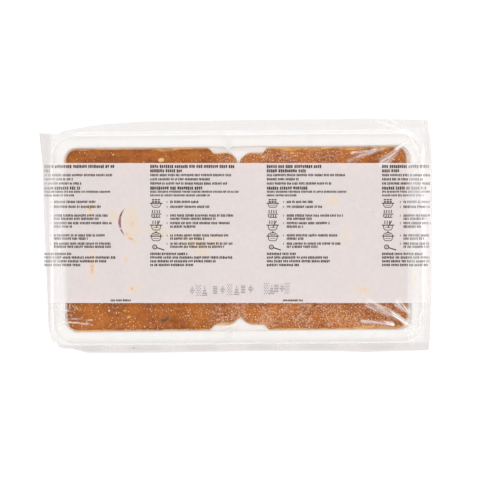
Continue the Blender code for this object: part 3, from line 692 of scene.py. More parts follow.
def soup_material():
    """Frozen orange-brown soup: mottled, with fat and spice specks and a paler rim."""
    n = Shading("frozen_soup")
    broad = n.span(n.noise(38.0, 4.0, rough=0.6), 0.34, 0.66)
    colour = n.blend(broad, srgb(144, 70, 8), srgb(186, 103, 16))
    fine = n.span(n.noise(420.0, 4.0, rough=0.65), 0.36, 0.66)
    colour = n.blend(n.times(fine, 0.40), colour, srgb(206, 130, 48))
    redder = n.span(n.noise(120.0), 0.56, 0.72, 0.0, 0.45)
    colour = n.blend(redder, colour, srgb(144, 56, 14))
    pale = n.span(n.cells(620.0), 0.05, 0.22, 0.75, 0.0)
    sparse = n.span(n.noise(210.0, 2.0), 0.50, 0.62)
    colour = n.blend(n.times(pale, sparse), colour, srgb(236, 176, 112))
    dark = n.span(n.cells(310.0), 0.03, 0.12, 0.55, 0.0)
    colour = n.blend(dark, colour, srgb(104, 40, 12))
    rim = n.times(n.attribute("rim"), n.span(n.noise(130.0, 2.0), 0.32, 0.60, 0.4, 1.0))
    colour = n.blend(rim, colour, srgb(250, 196, 110))
    colour = n.blend(n.attribute("seam"), colour, srgb(218, 150, 76))
    frosted = n.times(n.attribute("frost"), n.span(n.noise(520.0), 0.42, 0.70, 0.02, 0.78))
    colour = n.blend(frosted, colour, srgb(220, 176, 148))
    height = n.math("ADD", n.noise(330.0, 5.0), n.times(n.cells(520.0), 0.35))
    relief = n.bump(height, 0.5 * MM, 0.6)
    rough = n.span(n.noise(240.0, 3.0), 0.3, 0.7, 0.38, 0.62)
    return n.finish(n.principled(colour, rough, relief, **{"Specular IOR Level": 0.3}))


def frost_material():
    """Pale ice, warmed a little by the soup below it."""
    n = Shading("frost")
    tint = n.span(n.noise(900.0, 2.0), 0.35, 0.65)
    colour = n.blend(tint, srgb(246, 224, 206), srgb(234, 192, 164))
    relief = n.bump(n.noise(2500.0, 2.0), 0.1 * MM, 0.5)
    return n.finish(n.principled(colour, 0.35, relief))


def bit_material(kind):
    """One kind of vegetable, meat or leaf, streaked with a darker shade of itself."""
    n = Shading("bit_" + kind)
    colour = srgb(*BIT_COLOURS[kind])
    darker = tuple(value * 0.8 for value in colour)
    spread = n.span(n.noise(600.0, 4.0, n.stretched((1.0, 2.2, 1.0))), 0.35, 0.65)
    relief = n.bump(n.noise(900.0, 3.0), 0.2 * MM, 0.5)
    return n.finish(n.principled(n.blend(spread, darker, colour), 0.45, relief))


def ink_material(name, shade, wear):
    """Printing ink: dark, with a slight unevenness where it was laid thin."""
    n = Shading(name)
    thin = n.span(n.noise(800.0, 3.0), 0.45, 0.75, 0.0, wear)
    colour = n.blend(thin, shade, srgb(150, 138, 132))
    # Toward both ends of the pack the marks turn pale grey in patches
    along = n.add("ShaderNodeSeparateXYZ", {0: n.place()}).outputs["X"]
    off_left = n.span(along, -142.0 * MM, -132.0 * MM, 1.0, 0.0)
    off_right = n.span(along, 134.0 * MM, 142.0 * MM)
    patches = n.span(n.noise(70.0, 2.0), 0.40, 0.60, 0.45, 0.9)
    paler_at_ends = n.times(n.math("ADD", off_left, off_right), patches)
    return n.finish(n.principled(n.blend(paler_at_ends, colour, srgb(176, 171, 171)), 0.45))


# Tray

def ledge_inset(from_divider):
    """How far the ledge beside the divider pushes a pocket's long side in."""
    return LEDGE_BREADTH * float(
        1.0 - smooth_step((from_divider - LEDGE_INNER) / (LEDGE_OUTER - LEDGE_INNER)))


def lug_inset(side, from_divider):
    """How far a stacking lug pushes the left pocket's rim in."""
    if side > 0:
        return 0.0
    return max(0.0, 1.0 - abs(from_divider - LUG_FROM_DIVIDER) / LUG_HALF)


def to_outer_corner(points, side, toward, half_x, half_y, corner, run):
    """Carries a long side's points on to the outer corner and half round it."""
    corner_start = (side * (half_x - corner), toward * half_y)
    centre = (side * (half_x - corner), toward * (half_y - corner))
    return (points + between(points[-1], corner_start, run["long"])
            + arc(centre, corner, side, toward, 90, 45, OUTER_CORNER_STEPS // 2))


def end_side(side, half_x, half_y, corner, run):
    """A short end, from the middle of its back corner to that of its front corner."""
    halves = OUTER_CORNER_STEPS // 2
    centre_x, centre_y = side * (half_x - corner), half_y - corner
    first = arc((centre_x, centre_y), corner, side, 1, 45, 0, halves)
    last = arc((centre_x, -centre_y), corner, side, -1, 0, 45, halves)
    return first + between(first[-1], last[0], run["end"]) + last


def rim_sides(side, inset, corner, lug, run):
    """The rim beside one pocket: its back, outer end, front, and the divider's middle."""
    half_x, half_y = TRAY_LENGTH / 2 - inset, TRAY_WIDTH / 2 - inset

    def long_side(toward):
        feet = RIM_FEET + RUN_STATIONS
        points = [(DIVIDER_X + side * d, toward * (half_y - lug * lug_inset(side, d)))
                  for d in feet]
        return to_outer_corner(points, side, toward, half_x, half_y, corner, run)

    back, front = long_side(1), long_side(-1)
    outer = end_side(side, half_x, half_y, corner, run)
    steps = DIVIDER_CORNER_STEPS + run["divider"] + 2 * (len(RIM_FEET) - 4)
    divider = [front[0]] + between(front[0], back[0], steps) + [back[0]]
    return back, outer, front[::-1], divider


def pocket_sides(side, inset, corner, crest, run, extra=0):
    """One pocket's outline: its back, outer end, front and divider sides.

    extra adds points to the divider's corners, so that the rim's ring has as many.
    """
    half_x, half_y = TRAY_LENGTH / 2 - POCKET_END_STEPS[side] - inset, TRAY_WIDTH / 2 - inset
    halves = DIVIDER_CORNER_STEPS // 2

    def divider_corner(toward, first, last, steps):
        radius = DIVIDER_CORNERS[side]
        centre = (DIVIDER_X + side * (crest + radius), toward * (half_y - LEDGE_BREADTH - radius))
        return arc(centre, radius, -side, toward, first, last, steps)

    def long_side(toward):
        points = divider_corner(toward, 45, 90, len(RIM_FEET) - 1 if extra else halves)
        points += [(DIVIDER_X + side * (d + crest - CREST_HALF),
                    toward * (half_y - ledge_inset(d))) for d in RUN_STATIONS]
        return to_outer_corner(points, side, toward, half_x, half_y, corner, run)

    back, front = long_side(1), long_side(-1)
    outer = end_side(side, half_x, half_y, corner, run)
    divider_front = divider_corner(-1, 45, 0, halves + extra)
    divider_back = divider_corner(1, 0, 45, halves + extra)
    divider = divider_front + between(divider_front[-1], divider_back[0], run["divider"])
    return back, outer, front[::-1], divider + divider_back


def join_sides(sides, closed=True):
    """One ring of points from sides that share their end points."""
    ring = [point for side in sides for point in side[:-1]]
    if not closed:
        ring.append(sides[-1][-1])
    return ring


def at_height(ring, height):
    """Lifts a flat ring to one height, or each point to its own."""
    heights = height if hasattr(height, "__len__") else [height] * len(ring)
    return [(x, y, z) for (x, y), z in zip(ring, heights)]


def pocket_levels():
    """A pocket from its edge on the deck to its floor: (inset, height, corner, crest)."""
    edge = FLANGE_BREADTH + MOUTH_TAPER + DECK_STEP
    wall_top = DECK - 2 * EDGE_ROUND
    wall_foot = FLOOR_TOP + FLOOR_FILLET
    draft_run = (wall_top - wall_foot) * math.tan(POCKET_DRAFT)
    runs = [(0.0, DECK), (0.3 * EDGE_ROUND, DECK - 0.5 * EDGE_ROUND), (EDGE_ROUND, wall_top)]
    for angle in np.radians(np.linspace(0.0, 90.0, 8)):
        run = EDGE_ROUND + draft_run + FLOOR_FILLET * (1 - math.cos(angle))
        runs.append((run, wall_foot - FLOOR_FILLET * math.sin(angle)))
    return [(edge + run, height, POCKET_CORNER, CREST_HALF + run) for run, height in runs]


def rim_levels():
    """The rim from the lip's hem to the mouth's foot: (inset, height, corner, lug)."""
    flange_inner = FLANGE_BREADTH - MOUTH_ROUND
    levels = [(0.0, FLANGE_TOP - FLANGE_LIP, FLANGE_CORNER, 0.0)]
    for angle in np.radians([0.0, 30.0, 60.0, 90.0]):
        levels.append((EDGE_ROUND * (1 - math.cos(angle)),
                       FLANGE_TOP - EDGE_ROUND * (1 - math.sin(angle)), FLANGE_CORNER, 0.0))
    for angle in np.radians([0.0, 20.0, 40.0, 60.0, 80.0]):
        inset = flange_inner + MOUTH_ROUND * math.sin(angle)
        height = FLANGE_TOP - MOUTH_ROUND * (1 - math.cos(angle))
        levels.append((inset, height, MOUTH_CORNER, LUG_REACH))
    return levels + [(FLANGE_BREADTH + MOUTH_TAPER, DECK, MOUTH_CORNER, LUG_REACH / 2)]


def make_tray():
    """An open skin, its good side to the food, thickened away from the food."""
    skin = Skin()
    for side in (-1, 1):
        flip = side > 0
        above = None
        for inset, height, corner, lug in rim_levels():
            sides = rim_sides(side, inset, corner, lug, TRAY_RUN)
            ring = skin.add(at_height(join_sides(sides[:3], closed=False), height))
            if above:
                skin.bridge(above, ring, False, flip)
            above = ring
        above = above + skin.add(at_height(sides[3][1:-1], height))
        for inset, height, corner, crest in pocket_levels():
            sides = pocket_sides(side, inset, corner, crest, TRAY_RUN, extra=len(RIM_FEET) - 4)
            ring = skin.add(at_height(join_sides(sides), height))
            skin.bridge(above, ring, True, flip)
            above = ring
        skin.faces.append(above[::-1] if flip else above)
    tray = skin.make("tray_shell", [tray_material()], 40, weld=0.001 * MM)
    lay_in_pack(tray)
    thicken(tray, "wall", TRAY_WALL).use_even_offset = True
    return tray


# Soup

def all_lumps():
    """Every lump of the frozen surface: x, y, radius and rise, from the tray's middle."""
    shown = [(*into_tray(x * MM, y * MM), r * MM, h * MM) for x, y, r, h in SHOWN_LUMPS]
    draw = np.random.RandomState(LUMP_SEED)
    x = draw.uniform(-TRAY_LENGTH / 2, TRAY_LENGTH / 2, FINE_LUMPS)
    y = draw.uniform(-TRAY_WIDTH / 2, TRAY_WIDTH / 2, FINE_LUMPS)
    radius = draw.uniform(*FINE_LUMP_RADII, FINE_LUMPS)
    rise = draw.uniform(*FINE_LUMP_RISES, FINE_LUMPS)
    return shown + list(zip(x, y, radius, rise))


def soup_relief(x, y):
    """Height above the block's edge: crown, lumps, and a grainy unevenness."""
    rise = np.full(np.broadcast(x, y).shape, SOUP_CROWN)
    for lump_x, lump_y, radius, height in all_lumps():
        away = ((x - lump_x) ** 2 + (y - lump_y) ** 2) / radius ** 2
        rise = rise + height * np.exp(-LUMP_FALL_OFF * away)
    for height, *waves in SOUP_GRAIN:
        rise += height * ripples(x, y, *waves)
    return rise


def runs_over_divider(y, late):
    """How far the soup there has risen (late 0) or reached (late 1) over the divider."""
    start = min(LIP_BACK_END - y, y - LIP_FRONT_END) / LIP_END_RISE
    return float(smooth_step(start - LIP_REACH_DELAY * late))


def lip_ring(sides, height, lip_height, lip_x):
    """Carries the divider side of a block's ring over the crest where the soup does."""
    ring, heights = [], []
    for number, points in enumerate(sides):
        for x, y in points[:-1]:
            rise = runs_over_divider(y, 0) if number == 3 else 0.0
            reach = runs_over_divider(y, 1) if number == 3 else 0.0
            ring.append((x + (lip_x - x) * reach, y))
            heights.append(height + (lip_height - height) * rise)
    return ring, heights


def coons_patch(ring, across, along):
    """Fills a ring of four sides with a grid of points that follows all four."""
    corners = [across, across + along, 2 * across + along]
    points = np.array(ring + [ring[0]])
    back = points[0:across + 1]
    outer = points[corners[0]:corners[1] + 1]
    front = points[corners[1]:corners[2] + 1][::-1]
    divider = points[corners[2]:][::-1]
    s = np.linspace(0.0, 1.0, across + 1)[:, None, None]
    t = np.linspace(0.0, 1.0, along + 1)[None, :, None]
    flat = ((1 - s) * (1 - t) * back[0] + s * (1 - t) * back[-1]
            + (1 - s) * t * front[0] + s * t * front[-1])
    sides = ((1 - t) * back[:, None] + t * front[:, None]
             + (1 - s) * divider[None, :] + s * outer[None, :])
    return sides - flat


def soup_outline(side):
    """The block's edge at its top: its four sides, and the counts along the first two."""
    inset, _, corner, crest = pocket_levels()[0]
    sides = pocket_sides(side, inset + GAP, corner, crest + GAP, SOUP_RUN)
    return sides, len(sides[0]) - 1, len(sides[1]) - 1


def make_soup(name, side, material):
    """One frozen block: it fills its pocket and has the lumps of the soup on top."""
    skin = Skin()
    flip = side > 0
    below = None
    for inset, height, corner, crest in pocket_levels()[:0:-1]:
        sides = pocket_sides(side, inset + GAP, corner, crest + GAP, SOUP_RUN)
        lift = GAP * (FLOOR_TOP + FLOOR_FILLET - height) / FLOOR_FILLET
        ring = skin.add(at_height(join_sides(sides), height + max(0.0, lift)))
        if below:
            skin.bridge(below, ring, True, not flip)
        else:
            skin.faces.append(ring if flip else ring[::-1])
        below = ring

    sides, across, along = soup_outline(side)
    seam = LIP_SEAM_X + side * JOIN_GAP / 2
    shoulder = DIVIDER_X + side * (CREST_HALF + GAP)
    edge = DECK - SOUP_EDGE_DROP
    lip_floor = DECK + GAP + LIP_CLEARANCE
    for outline, heights in (
            lip_ring(sides, edge - EDGE_FOOT, lip_floor, shoulder),
            lip_ring(sides, edge - EDGE_STEP, lip_floor + EDGE_STEP, seam),
            lip_ring(sides, edge, lip_floor + LIP_THICKNESS, seam)):
        ring = skin.add(at_height(outline, heights))
        skin.bridge(below, ring, True, not flip)
        below = ring

    grid = coons_patch(at_height(outline, heights), across, along)
    i, j = np.meshgrid(np.arange(across + 1), np.arange(along + 1), indexing="ij")
    from_edge = np.minimum(np.minimum(i, across - i) / across * TRAY_LENGTH / 2,
                           np.minimum(j, along - j) / along * TRAY_WIDTH)
    relief = soup_relief(grid[..., 0], grid[..., 1]) * smooth_step(from_edge / SOUP_SHOULDER)
    height = np.minimum(grid[..., 2] + relief, LUMP_CEILING)
    top = np.stack([grid[..., 0], grid[..., 1], height], axis=-1)
    inner = skin.add(top[1:-1, 1:-1].reshape(-1, 3))
    rows = np.empty((across + 1, along + 1), int)
    rows[1:-1, 1:-1] = np.array(inner).reshape(across - 1, along - 1)
    ring = np.array(below)
    rows[:, 0] = ring[:across + 1]
    rows[-1, :] = ring[across:across + along + 1]
    rows[:, -1] = ring[across + along:2 * across + along + 1][::-1]
    rows[0, :] = np.append(ring[2 * across + along:], ring[0])[::-1]
    for first, second in zip(rows[:-1].tolist(), rows[1:].tolist()):
        skin.bridge(first, second, False, flip)
    block = skin.make(name, [material], 50)
    mesh = bmesh.new()
    mesh.from_mesh(block.data)
    bmesh.ops.recalc_face_normals(mesh, faces=mesh.faces)
    mesh.to_mesh(block.data)
    mesh.free()

    mark_soup(block, inner, from_edge[1:-1, 1:-1].ravel())
    lay_in_pack(block)
    return block


def mark_soup(block, inner, from_edge):
    """Notes where fat lies at the rim and along the seam, and where frost does."""
    x, y, _ = np.array([v.co for v in block.data.vertices]).T
    rim = np.ones(len(x))
    reach = (RIM_WIDTH + RIM_FAT_WIDTH * fat_at_rim(x[inner], y[inner])) * MM
    rim[inner] = 1.0 - smooth_step((from_edge - reach) / (RIM_FADE * MM))
    inside_ends = np.minimum(LIP_BACK_END - y, y - LIP_FRONT_END)
    on_lip = smooth_step(inside_ends / LIP_END_RISE - LIP_REACH_DELAY)
    joined = 1 - smooth_step((np.abs(x - LIP_SEAM_X) - 2.5 * MM) / MM)
    sway = SEAM_LINE_SWAY * np.sin(y / SEAM_LINE_SWAY_RUN)
    line = 1 - smooth_step((np.abs(x - SEAM_LINE_X - sway) - SEAM_LINE_HALF) / SEAM_LINE_FADE)
    add_attribute(block, "rim", rim * (1 - on_lip * joined))
    add_attribute(block, "seam", SEAM_LINE_STRENGTH * line * on_lip)
    add_attribute(block, "frost", frost_density(x, y))


def fat_at_rim(x, y):
    """Where yellow fat lies wide along the rim, 0 to 1, at places from the tray's middle."""
    total = np.zeros(np.broadcast(x, y).shape)
    for place_x, place_y, radius in RIM_FAT:
        own_x, own_y = into_tray(place_x * MM, place_y * MM)
        away = ((x - own_x) ** 2 + (y - own_y) ** 2) / (radius * MM) ** 2
        total = np.maximum(total, np.exp(-away))
    return total


def frost_density(x, y):
    """How thickly frost lies, 0 to 1: most at the front right, least at the back left."""
    right = smooth_step((x + 34.0 * MM) / (34.0 * MM))
    front = smooth_step((20.0 * MM - y) / (40.0 * MM))
    bare_corner = smooth_step((x - 84.0 * MM) / (30.0 * MM)) * (1.0 - 0.5 * front)
    density = 0.025 + 0.045 * front + right * (0.42 + 0.46 * front) * (1.0 - 0.6 * bare_corner)
    return np.clip(density * (1.0 + 0.6 * ripples(x, y, 26.0 * MM, 9)), 0.0, 1.0)


class SoupSurface:
    """Reads the height of the made soup blocks at a place in the pack."""

    def __init__(self, blocks):
        bpy.context.view_layer.update()
        self.blocks = blocks

    def at(self, x, y):
        """The height of the frozen surface there, or None beside it."""
        best = None
        for block in self.blocks:
            back = block.matrix_world.inverted()
            start = back @ Vector((x, y, PACK_TOP))
            hit, place, _, _ = block.ray_cast(start, Vector((0.0, 0.0, -1.0)))
            if hit:
                height = (block.matrix_world @ place).z
                if height > DECK - 2.0 * MM and (best is None or height > best):
                    best = height
        return best


def blob(radius_steps, ring_steps):
    """A unit half-lens: points and faces of a low dome with its flat side down."""
    points, faces = [(0.0, 0.0, 1.0)], []
    for ring in range(1, ring_steps + 1):
        angle = math.pi / 2 * ring / ring_steps
        for k in range(radius_steps):
            turn = 2 * math.pi * (k + 0.5 * (ring % 2)) / radius_steps
            points.append((math.sin(angle) * math.cos(turn), math.sin(angle) * math.sin(turn),
                           math.cos(angle)))
    for k in range(radius_steps):
        faces.append([0, 1 + k, 1 + (k + 1) % radius_steps])
    for ring in range(ring_steps - 1):
        start = 1 + ring * radius_steps
        for k in range(radius_steps):
            n = (k + 1) % radius_steps
            faces.append([start + k, start + radius_steps + k, start + radius_steps + n, start + n])
    last = 1 + (ring_steps - 1) * radius_steps
    faces.append([last + k for k in range(radius_steps)][::-1])
    return np.array(points), faces


def add_blob(skin, shape, place, size, turn, jitter=None):
    """Adds one blob, stretched to a size (length, width, height) and turned."""
    points, faces = shape
    points = points.copy()
    if jitter is not None:
        points = points * jitter
    points = points * np.array(size)
    cos, sin = math.cos(turn), math.sin(turn)
    x = points[:, 0] * cos - points[:, 1] * sin
    y = points[:, 0] * sin + points[:, 1] * cos
    start = len(skin.points)
    skin.add(np.stack([x + place[0], y + place[1], points[:, 2] + place[2]], axis=1))
    skin.faces.extend([start + k for k in face] for face in faces)


def cell_of(x, y):
    """The square of a coarse grid that holds a place."""
    return math.floor(x / FROST_APART), math.floor(y / FROST_APART)


def crowded(taken, x, y):
    """Whether a grain already lies nearer than the least distance between grains."""
    column, row = cell_of(x, y)
    near = [taken.get((column + i, row + j)) for i in (-1, 0, 1) for j in (-1, 0, 1)]
    return any(grain and math.hypot(grain[0] - x, grain[1] - y) < FROST_APART for grain in near)


def make_frost(surface):
    """Ice grains on the soup where the clear film shows it, joined as one mesh."""
    draw = np.random.RandomState(FROST_SEED)
    skin = Skin()
    shape = blob(6, 2)
    taken = {}
    for _ in range(FROST_TRIES):
        x = draw.uniform(-FROST_HALF_RUN, FROST_HALF_RUN) * MM + TRAY_CENTRE[0]
        y = draw.choice([draw.uniform(*strip) for strip in FROST_STRIPS], p=FROST_CHANCES) * MM
        if draw.uniform() > frost_density(x, y) or crowded(taken, x, y):
            continue
        height = surface.at(x, y)
        if height is None:
            continue
        taken[cell_of(x, y)] = (x, y)
        size = draw.uniform(0.26, 0.48) * MM * (1.3 if draw.uniform() < 0.12 else 1.0)
        stretch = draw.uniform(0.6, 1.8)
        add_blob(skin, shape, (x, y, height - 0.06 * MM),
                 (size * stretch, size / stretch ** 0.5, size * 0.8), draw.uniform(0, math.pi),
                 draw.uniform(0.8, 1.2, (len(shape[0]), 1)))
    return skin.make("frost_grains", [frost_material()], 40)


def make_bits(surface):
    """One mesh for each kind of small piece that shows in the soup."""
    draw = np.random.RandomState(FROST_SEED + 1)
    pieces = []
    shape = blob(18, 6)
    for kind in BIT_COLOURS:
        skin = Skin()
        for x, y, length, width, rise, turn, this_kind in BITS:
            if this_kind != kind:
                continue
            height = surface.at(x * MM, y * MM)
            if height is None:
                continue
            count = len(shape[0])
            uneven = 1.0 + 0.16 * np.sin(np.arange(count)[:, None] * draw.uniform(0.5, 2.0, (1, 3))
                                         + draw.uniform(0, 6, (1, 3)))
            size = (length / 2 * MM, width / 2 * MM, rise * 0.55 * MM)
            add_blob(skin, shape, (x * MM, y * MM, height - 0.15 * MM), size,
                     math.radians(turn), uneven)
        pieces.append(skin.make("soup_bits_" + kind, [bit_material(kind)], 60))
    return pieces


# Film

def outside_flange(x, y):
    """How far a place in the pack lies outside the flange's edge, or inside if below 0."""
    own_x, own_y = into_tray(x, y)
    over_x = np.abs(own_x) - (TRAY_LENGTH / 2 - FLANGE_CORNER)
    over_y = np.abs(own_y) - (TRAY_WIDTH / 2 - FLANGE_CORNER)
    beyond = np.hypot(np.maximum(over_x, 0.0), np.maximum(over_y, 0.0))
    return beyond + np.minimum(np.maximum(over_x, over_y), 0.0) - FLANGE_CORNER


def crease_field(x, y, column):
    """The HAZE_AND_GLINT (whitening with a painted highlight) or the RISE of the creases at each
    place.
    """
    total = np.zeros(np.broadcast(x, y).shape)
    for crease in CREASES:
        x0, y0, x1, y1, wide0, wide1 = (value * MM for value in crease[:6])
        run = np.array([x1 - x0, y1 - y0])
        along = ((x - x0) * run[0] + (y - y0) * run[1]) / (run @ run)
        held = np.clip(along, 0.0, 1.0)
        away = np.hypot(x - x0 - held * run[0], y - y0 - held * run[1])
        half = wide0 + (wide1 - wide0) * held
        if column == HAZE_AND_GLINT:
            field = crease[HAZE_AND_GLINT] * (1.0 - smooth_step((away / half - 0.55) / 0.7))
        else:
            field = crease[RISE] * MM * (1.0 - smooth_step(away / (1.5 * half + 0.9 * MM)))
        total = np.maximum(total, field)
    return total


def film_height(x, y):
    """Top sheet: flat on the flange, then down to the margin, with its creases."""
    away = outside_flange(x, y)
    wave = MARGIN_WAVE * np.sin(2 * math.pi * (x + WAVE_SLANT * y) / MARGIN_WAVE_LENGTH)
    drop = FILM_BEND_DROP * smooth_step((away - FILM_OVERHANG) / FILM_BEND_WIDTH)
    drop = drop + FILM_MARGIN_SLOPE * np.maximum(0.0, away - FILM_OVERHANG - FILM_BEND_WIDTH)
    over_mouth = smooth_step((-away - FLANGE_BREADTH) / FILM_SLACK_RUN)
    slack = FILM_SLACK * ripples(x, y, FILM_SLACK_LENGTH, 2) * over_mouth
    return (PACK_TOP - drop + wave * smooth_step((away - WAVE_START) / WAVE_RUN) + slack
            + crease_field(x, y, RISE))


def askew(x):
    """How far the tray's turn carries its long sides back at a place along the pack."""
    return (x - TRAY_CENTRE[0]) * math.tan(TRAY_TURN)


def bend_place(x, toward):
    """Where the flat top sheet ends at the back (1) or front (-1), round the corners."""
    radius = FLANGE_CORNER + FILM_OVERHANG
    own_x = x - TRAY_CENTRE[0] + toward * TRAY_WIDTH / 2 * math.tan(TRAY_TURN)
    into_corner = min(max(abs(own_x) - (TRAY_LENGTH / 2 - FLANGE_CORNER), 0.0), radius)
    reach = TRAY_WIDTH / 2 - FLANGE_CORNER + math.sqrt(radius ** 2 - into_corner ** 2)
    return TRAY_CENTRE[1] + toward * reach + askew(x)


def spread(stops, fine, coarse, fine_ranges):
    """Shares from 0 to 1 along a run, close together in the fine ranges."""
    start, end = stops
    places, place = [start], start
    while place < end:
        inside = any(low <= place <= high for low, high in fine_ranges)
        place += fine if inside else coarse
        places.append(min(place, end))
    return (np.array(places) - start) / (end - start)


TOP_SPREAD = spread((-81.2 * MM, 86.0 * MM), FINE_STEP, COARSE_STEP,
                    [(-90.0 * MM, -56.0 * MM), (51.0 * MM, 90.0 * MM)])
WALL_SPREAD = np.linspace(0.0, 0.97, 14)
BOTTOM_SPREAD = np.linspace(0.01, 0.99, 30)
MARGIN_STEPS = 7
BEND_STEPS = 3


def film_loop(x, fullness, x_at):
    """One loop of the film, from the back tip over the top and round the underside."""
    tip_back, tip_front = float(reach_along(BACK_EDGE, x)), float(reach_along(FRONT_EDGE, x))
    root_back = min(MARGIN_BACK + askew(x), tip_back - MARGIN_MIN_WIDTH)
    root_front = max(MARGIN_FRONT + askew(x), tip_front + MARGIN_MIN_WIDTH)
    bend_back = min(bend_place(x, 1), root_back - BEND_MIN_WIDTH)
    bend_front = max(bend_place(x, -1), root_front + BEND_MIN_WIDTH)
    top_y = np.concatenate([
        np.linspace(tip_back, root_back, MARGIN_STEPS, endpoint=False),
        np.linspace(root_back, bend_back, BEND_STEPS, endpoint=False),
        bend_back + (bend_front - bend_back) * TOP_SPREAD,
        np.linspace(bend_front, root_front, BEND_STEPS + 1)[1:],
        np.linspace(root_front, tip_front, MARGIN_STEPS + 1)[1:],
    ])
    top = np.stack([x_at(top_y), top_y, film_height(x_at(top_y), top_y)], axis=1)

    def underside(y):
        return float(film_height(x_at(y), y) - FIN_THICKNESS)

    def wall(root, base):
        foot_y = root + (base - root) * (0.1 + 0.9 * fullness)
        foot_z = underside(foot_y) * (1 - fullness)
        y = root + (foot_y - root) * WALL_SPREAD
        z = underside(root) + (foot_z - underside(root)) * WALL_SPREAD
        return np.stack([x_at(y), y, z], axis=1), foot_y, foot_z

    base_middle = TRAY_CENTRE[1] + askew(x)
    front_wall, front_foot, front_z = wall(root_front, base_middle - BASE_HALF_WIDTH)
    back_wall, back_foot, back_z = wall(root_back, base_middle + BASE_HALF_WIDTH)
    bottom_y = front_foot + (back_foot - front_foot) * BOTTOM_SPREAD
    bottom_z = front_z + (back_z - front_z) * BOTTOM_SPREAD
    bottom = np.stack([x_at(bottom_y), bottom_y, bottom_z], axis=1)
    tips = np.array([[float(x_at(tip)), tip, underside(tip)] for tip in (tip_front, tip_back)])
    loop = np.concatenate([top, tips[:1], front_wall, bottom, back_wall[::-1], tips[1:]])
    return loop, len(top)


def left_margin(y):
    """Where the left margin begins: its fin keeps a least width along the uneven edge."""
    return np.maximum(MARGIN_LEFT, reach_along(LEFT_EDGE, y) + FIN_MIN_WIDTH)


def film_stations():
    """Loops from the left edge to the right: nominal place, fullness, and x at each y."""
    base_left = TRAY_CENTRE[0] - BASE_HALF_LENGTH
    base_right = TRAY_CENTRE[0] + BASE_HALF_LENGTH
    shares = np.linspace(0.0, 1.0, FIN_STEPS + 1)

    def left_fin(share):
        return (-PACK_HALF_LENGTH * (1 - share) + MARGIN_LEFT * share, 0.0,
                lambda y: reach_along(LEFT_EDGE, y) * (1 - share) + left_margin(y) * share)

    def round_tray(x):
        fullness = min(1.0, (x - MARGIN_LEFT) / (base_left - MARGIN_LEFT),
                       (MARGIN_RIGHT - x) / (MARGIN_RIGHT - base_right))
        pull = max(0.0, 1.0 - (x - MARGIN_LEFT) / LEFT_PULL)
        return x, fullness, lambda y: x + pull * (left_margin(y) - MARGIN_LEFT)

    def right_fin(share):
        return (MARGIN_RIGHT * (1 - share) + PACK_HALF_LENGTH * share, 0.0,
                lambda y: MARGIN_RIGHT * (1 - share) + reach_along(RIGHT_EDGE, y) * share)

    places = spread((MARGIN_LEFT, MARGIN_RIGHT), FINE_STEP, COARSE_STEP,
                    [(MARGIN_LEFT, FINE_LEFT_OF), (FINE_RIGHT_OF, MARGIN_RIGHT)])
    middle = (MARGIN_LEFT + (MARGIN_RIGHT - MARGIN_LEFT) * places)[1:-1]
    return ([left_fin(share) for share in shares] + [round_tray(x) for x in middle]
            + [right_fin(share) for share in shares])


def touch_field(x, y):
    """How warm the soup makes the printed film look at each place."""
    total = np.zeros(np.broadcast(x, y).shape)
    for place_x, place_y, length, width, turn, strength in TOUCHES:
        cos, sin = math.cos(math.radians(turn)), math.sin(math.radians(turn))
        along = ((x - place_x * MM) * cos + (y - place_y * MM) * sin) / (length * MM)
        aside = ((y - place_y * MM) * cos - (x - place_x * MM) * sin) / (width * MM)
        total = np.maximum(total, strength * np.exp(-0.9 * (along ** 2 + aside ** 2) ** 1.4))
    return total


def layered_and_shadowed(x, y):
    """Greyness of the flat margins: two sheets lying together, and a painted shadow of the pack on
    the floor below, most at the front.
    """
    single = GREY_PAST_FLANGE * smooth_step((outside_flange(x, y) - FILM_OVERHANG) / MM)
    back = GREY_BACK * smooth_step((y - MARGIN_BACK - askew(x) + 0.5 * MM) / MM)
    front = GREY_FRONT * smooth_step((MARGIN_FRONT + askew(x) + 0.5 * MM - y) / MM)
    left = GREY_LEFT * smooth_step((MARGIN_LEFT + 1.0 * MM - x) / (2.0 * MM))
    right = GREY_RIGHT * smooth_step((x - MARGIN_RIGHT + 1.5 * MM) / MM)
    return np.maximum.reduce([single, back, front, left, right])


def make_film():
    """A tube round the tray, pressed flat at both ends, with the band printed on top."""
    loops = [film_loop(*station) for station in film_stations()]
    top_count = loops[0][1]
    grid = np.stack([loop for loop, _ in loops])
    skin = Skin()
    rings = [skin.add(loop) for loop in grid]
    for first, second in zip(rings, rings[1:]):
        skin.bridge(first, second, True, False)
    film = skin.make("film", [film_printed_material(), film_clear_material()], 60)
    on_top = np.zeros(grid.shape[:2])
    on_top[:, :top_count] = 1.0
    x, y = grid[..., 0], grid[..., 1]
    add_attribute(film, "top_sheet", on_top)
    # Whitening of the creases with a painted highlight on it
    add_attribute(film, "crease_haze_and_glint", crease_field(x, y, HAZE_AND_GLINT) * on_top)
    add_attribute(film, "touch", touch_field(x, y) * on_top)
    # Margins' greyness, partly a painted shadow of the pack on the floor below
    add_attribute(film, "layers_and_painted_shadow", layered_and_shadowed(x, y) * on_top)
    thicken(film, "sheet", FILM_SHEET).material_offset = 1
    return film


# Print

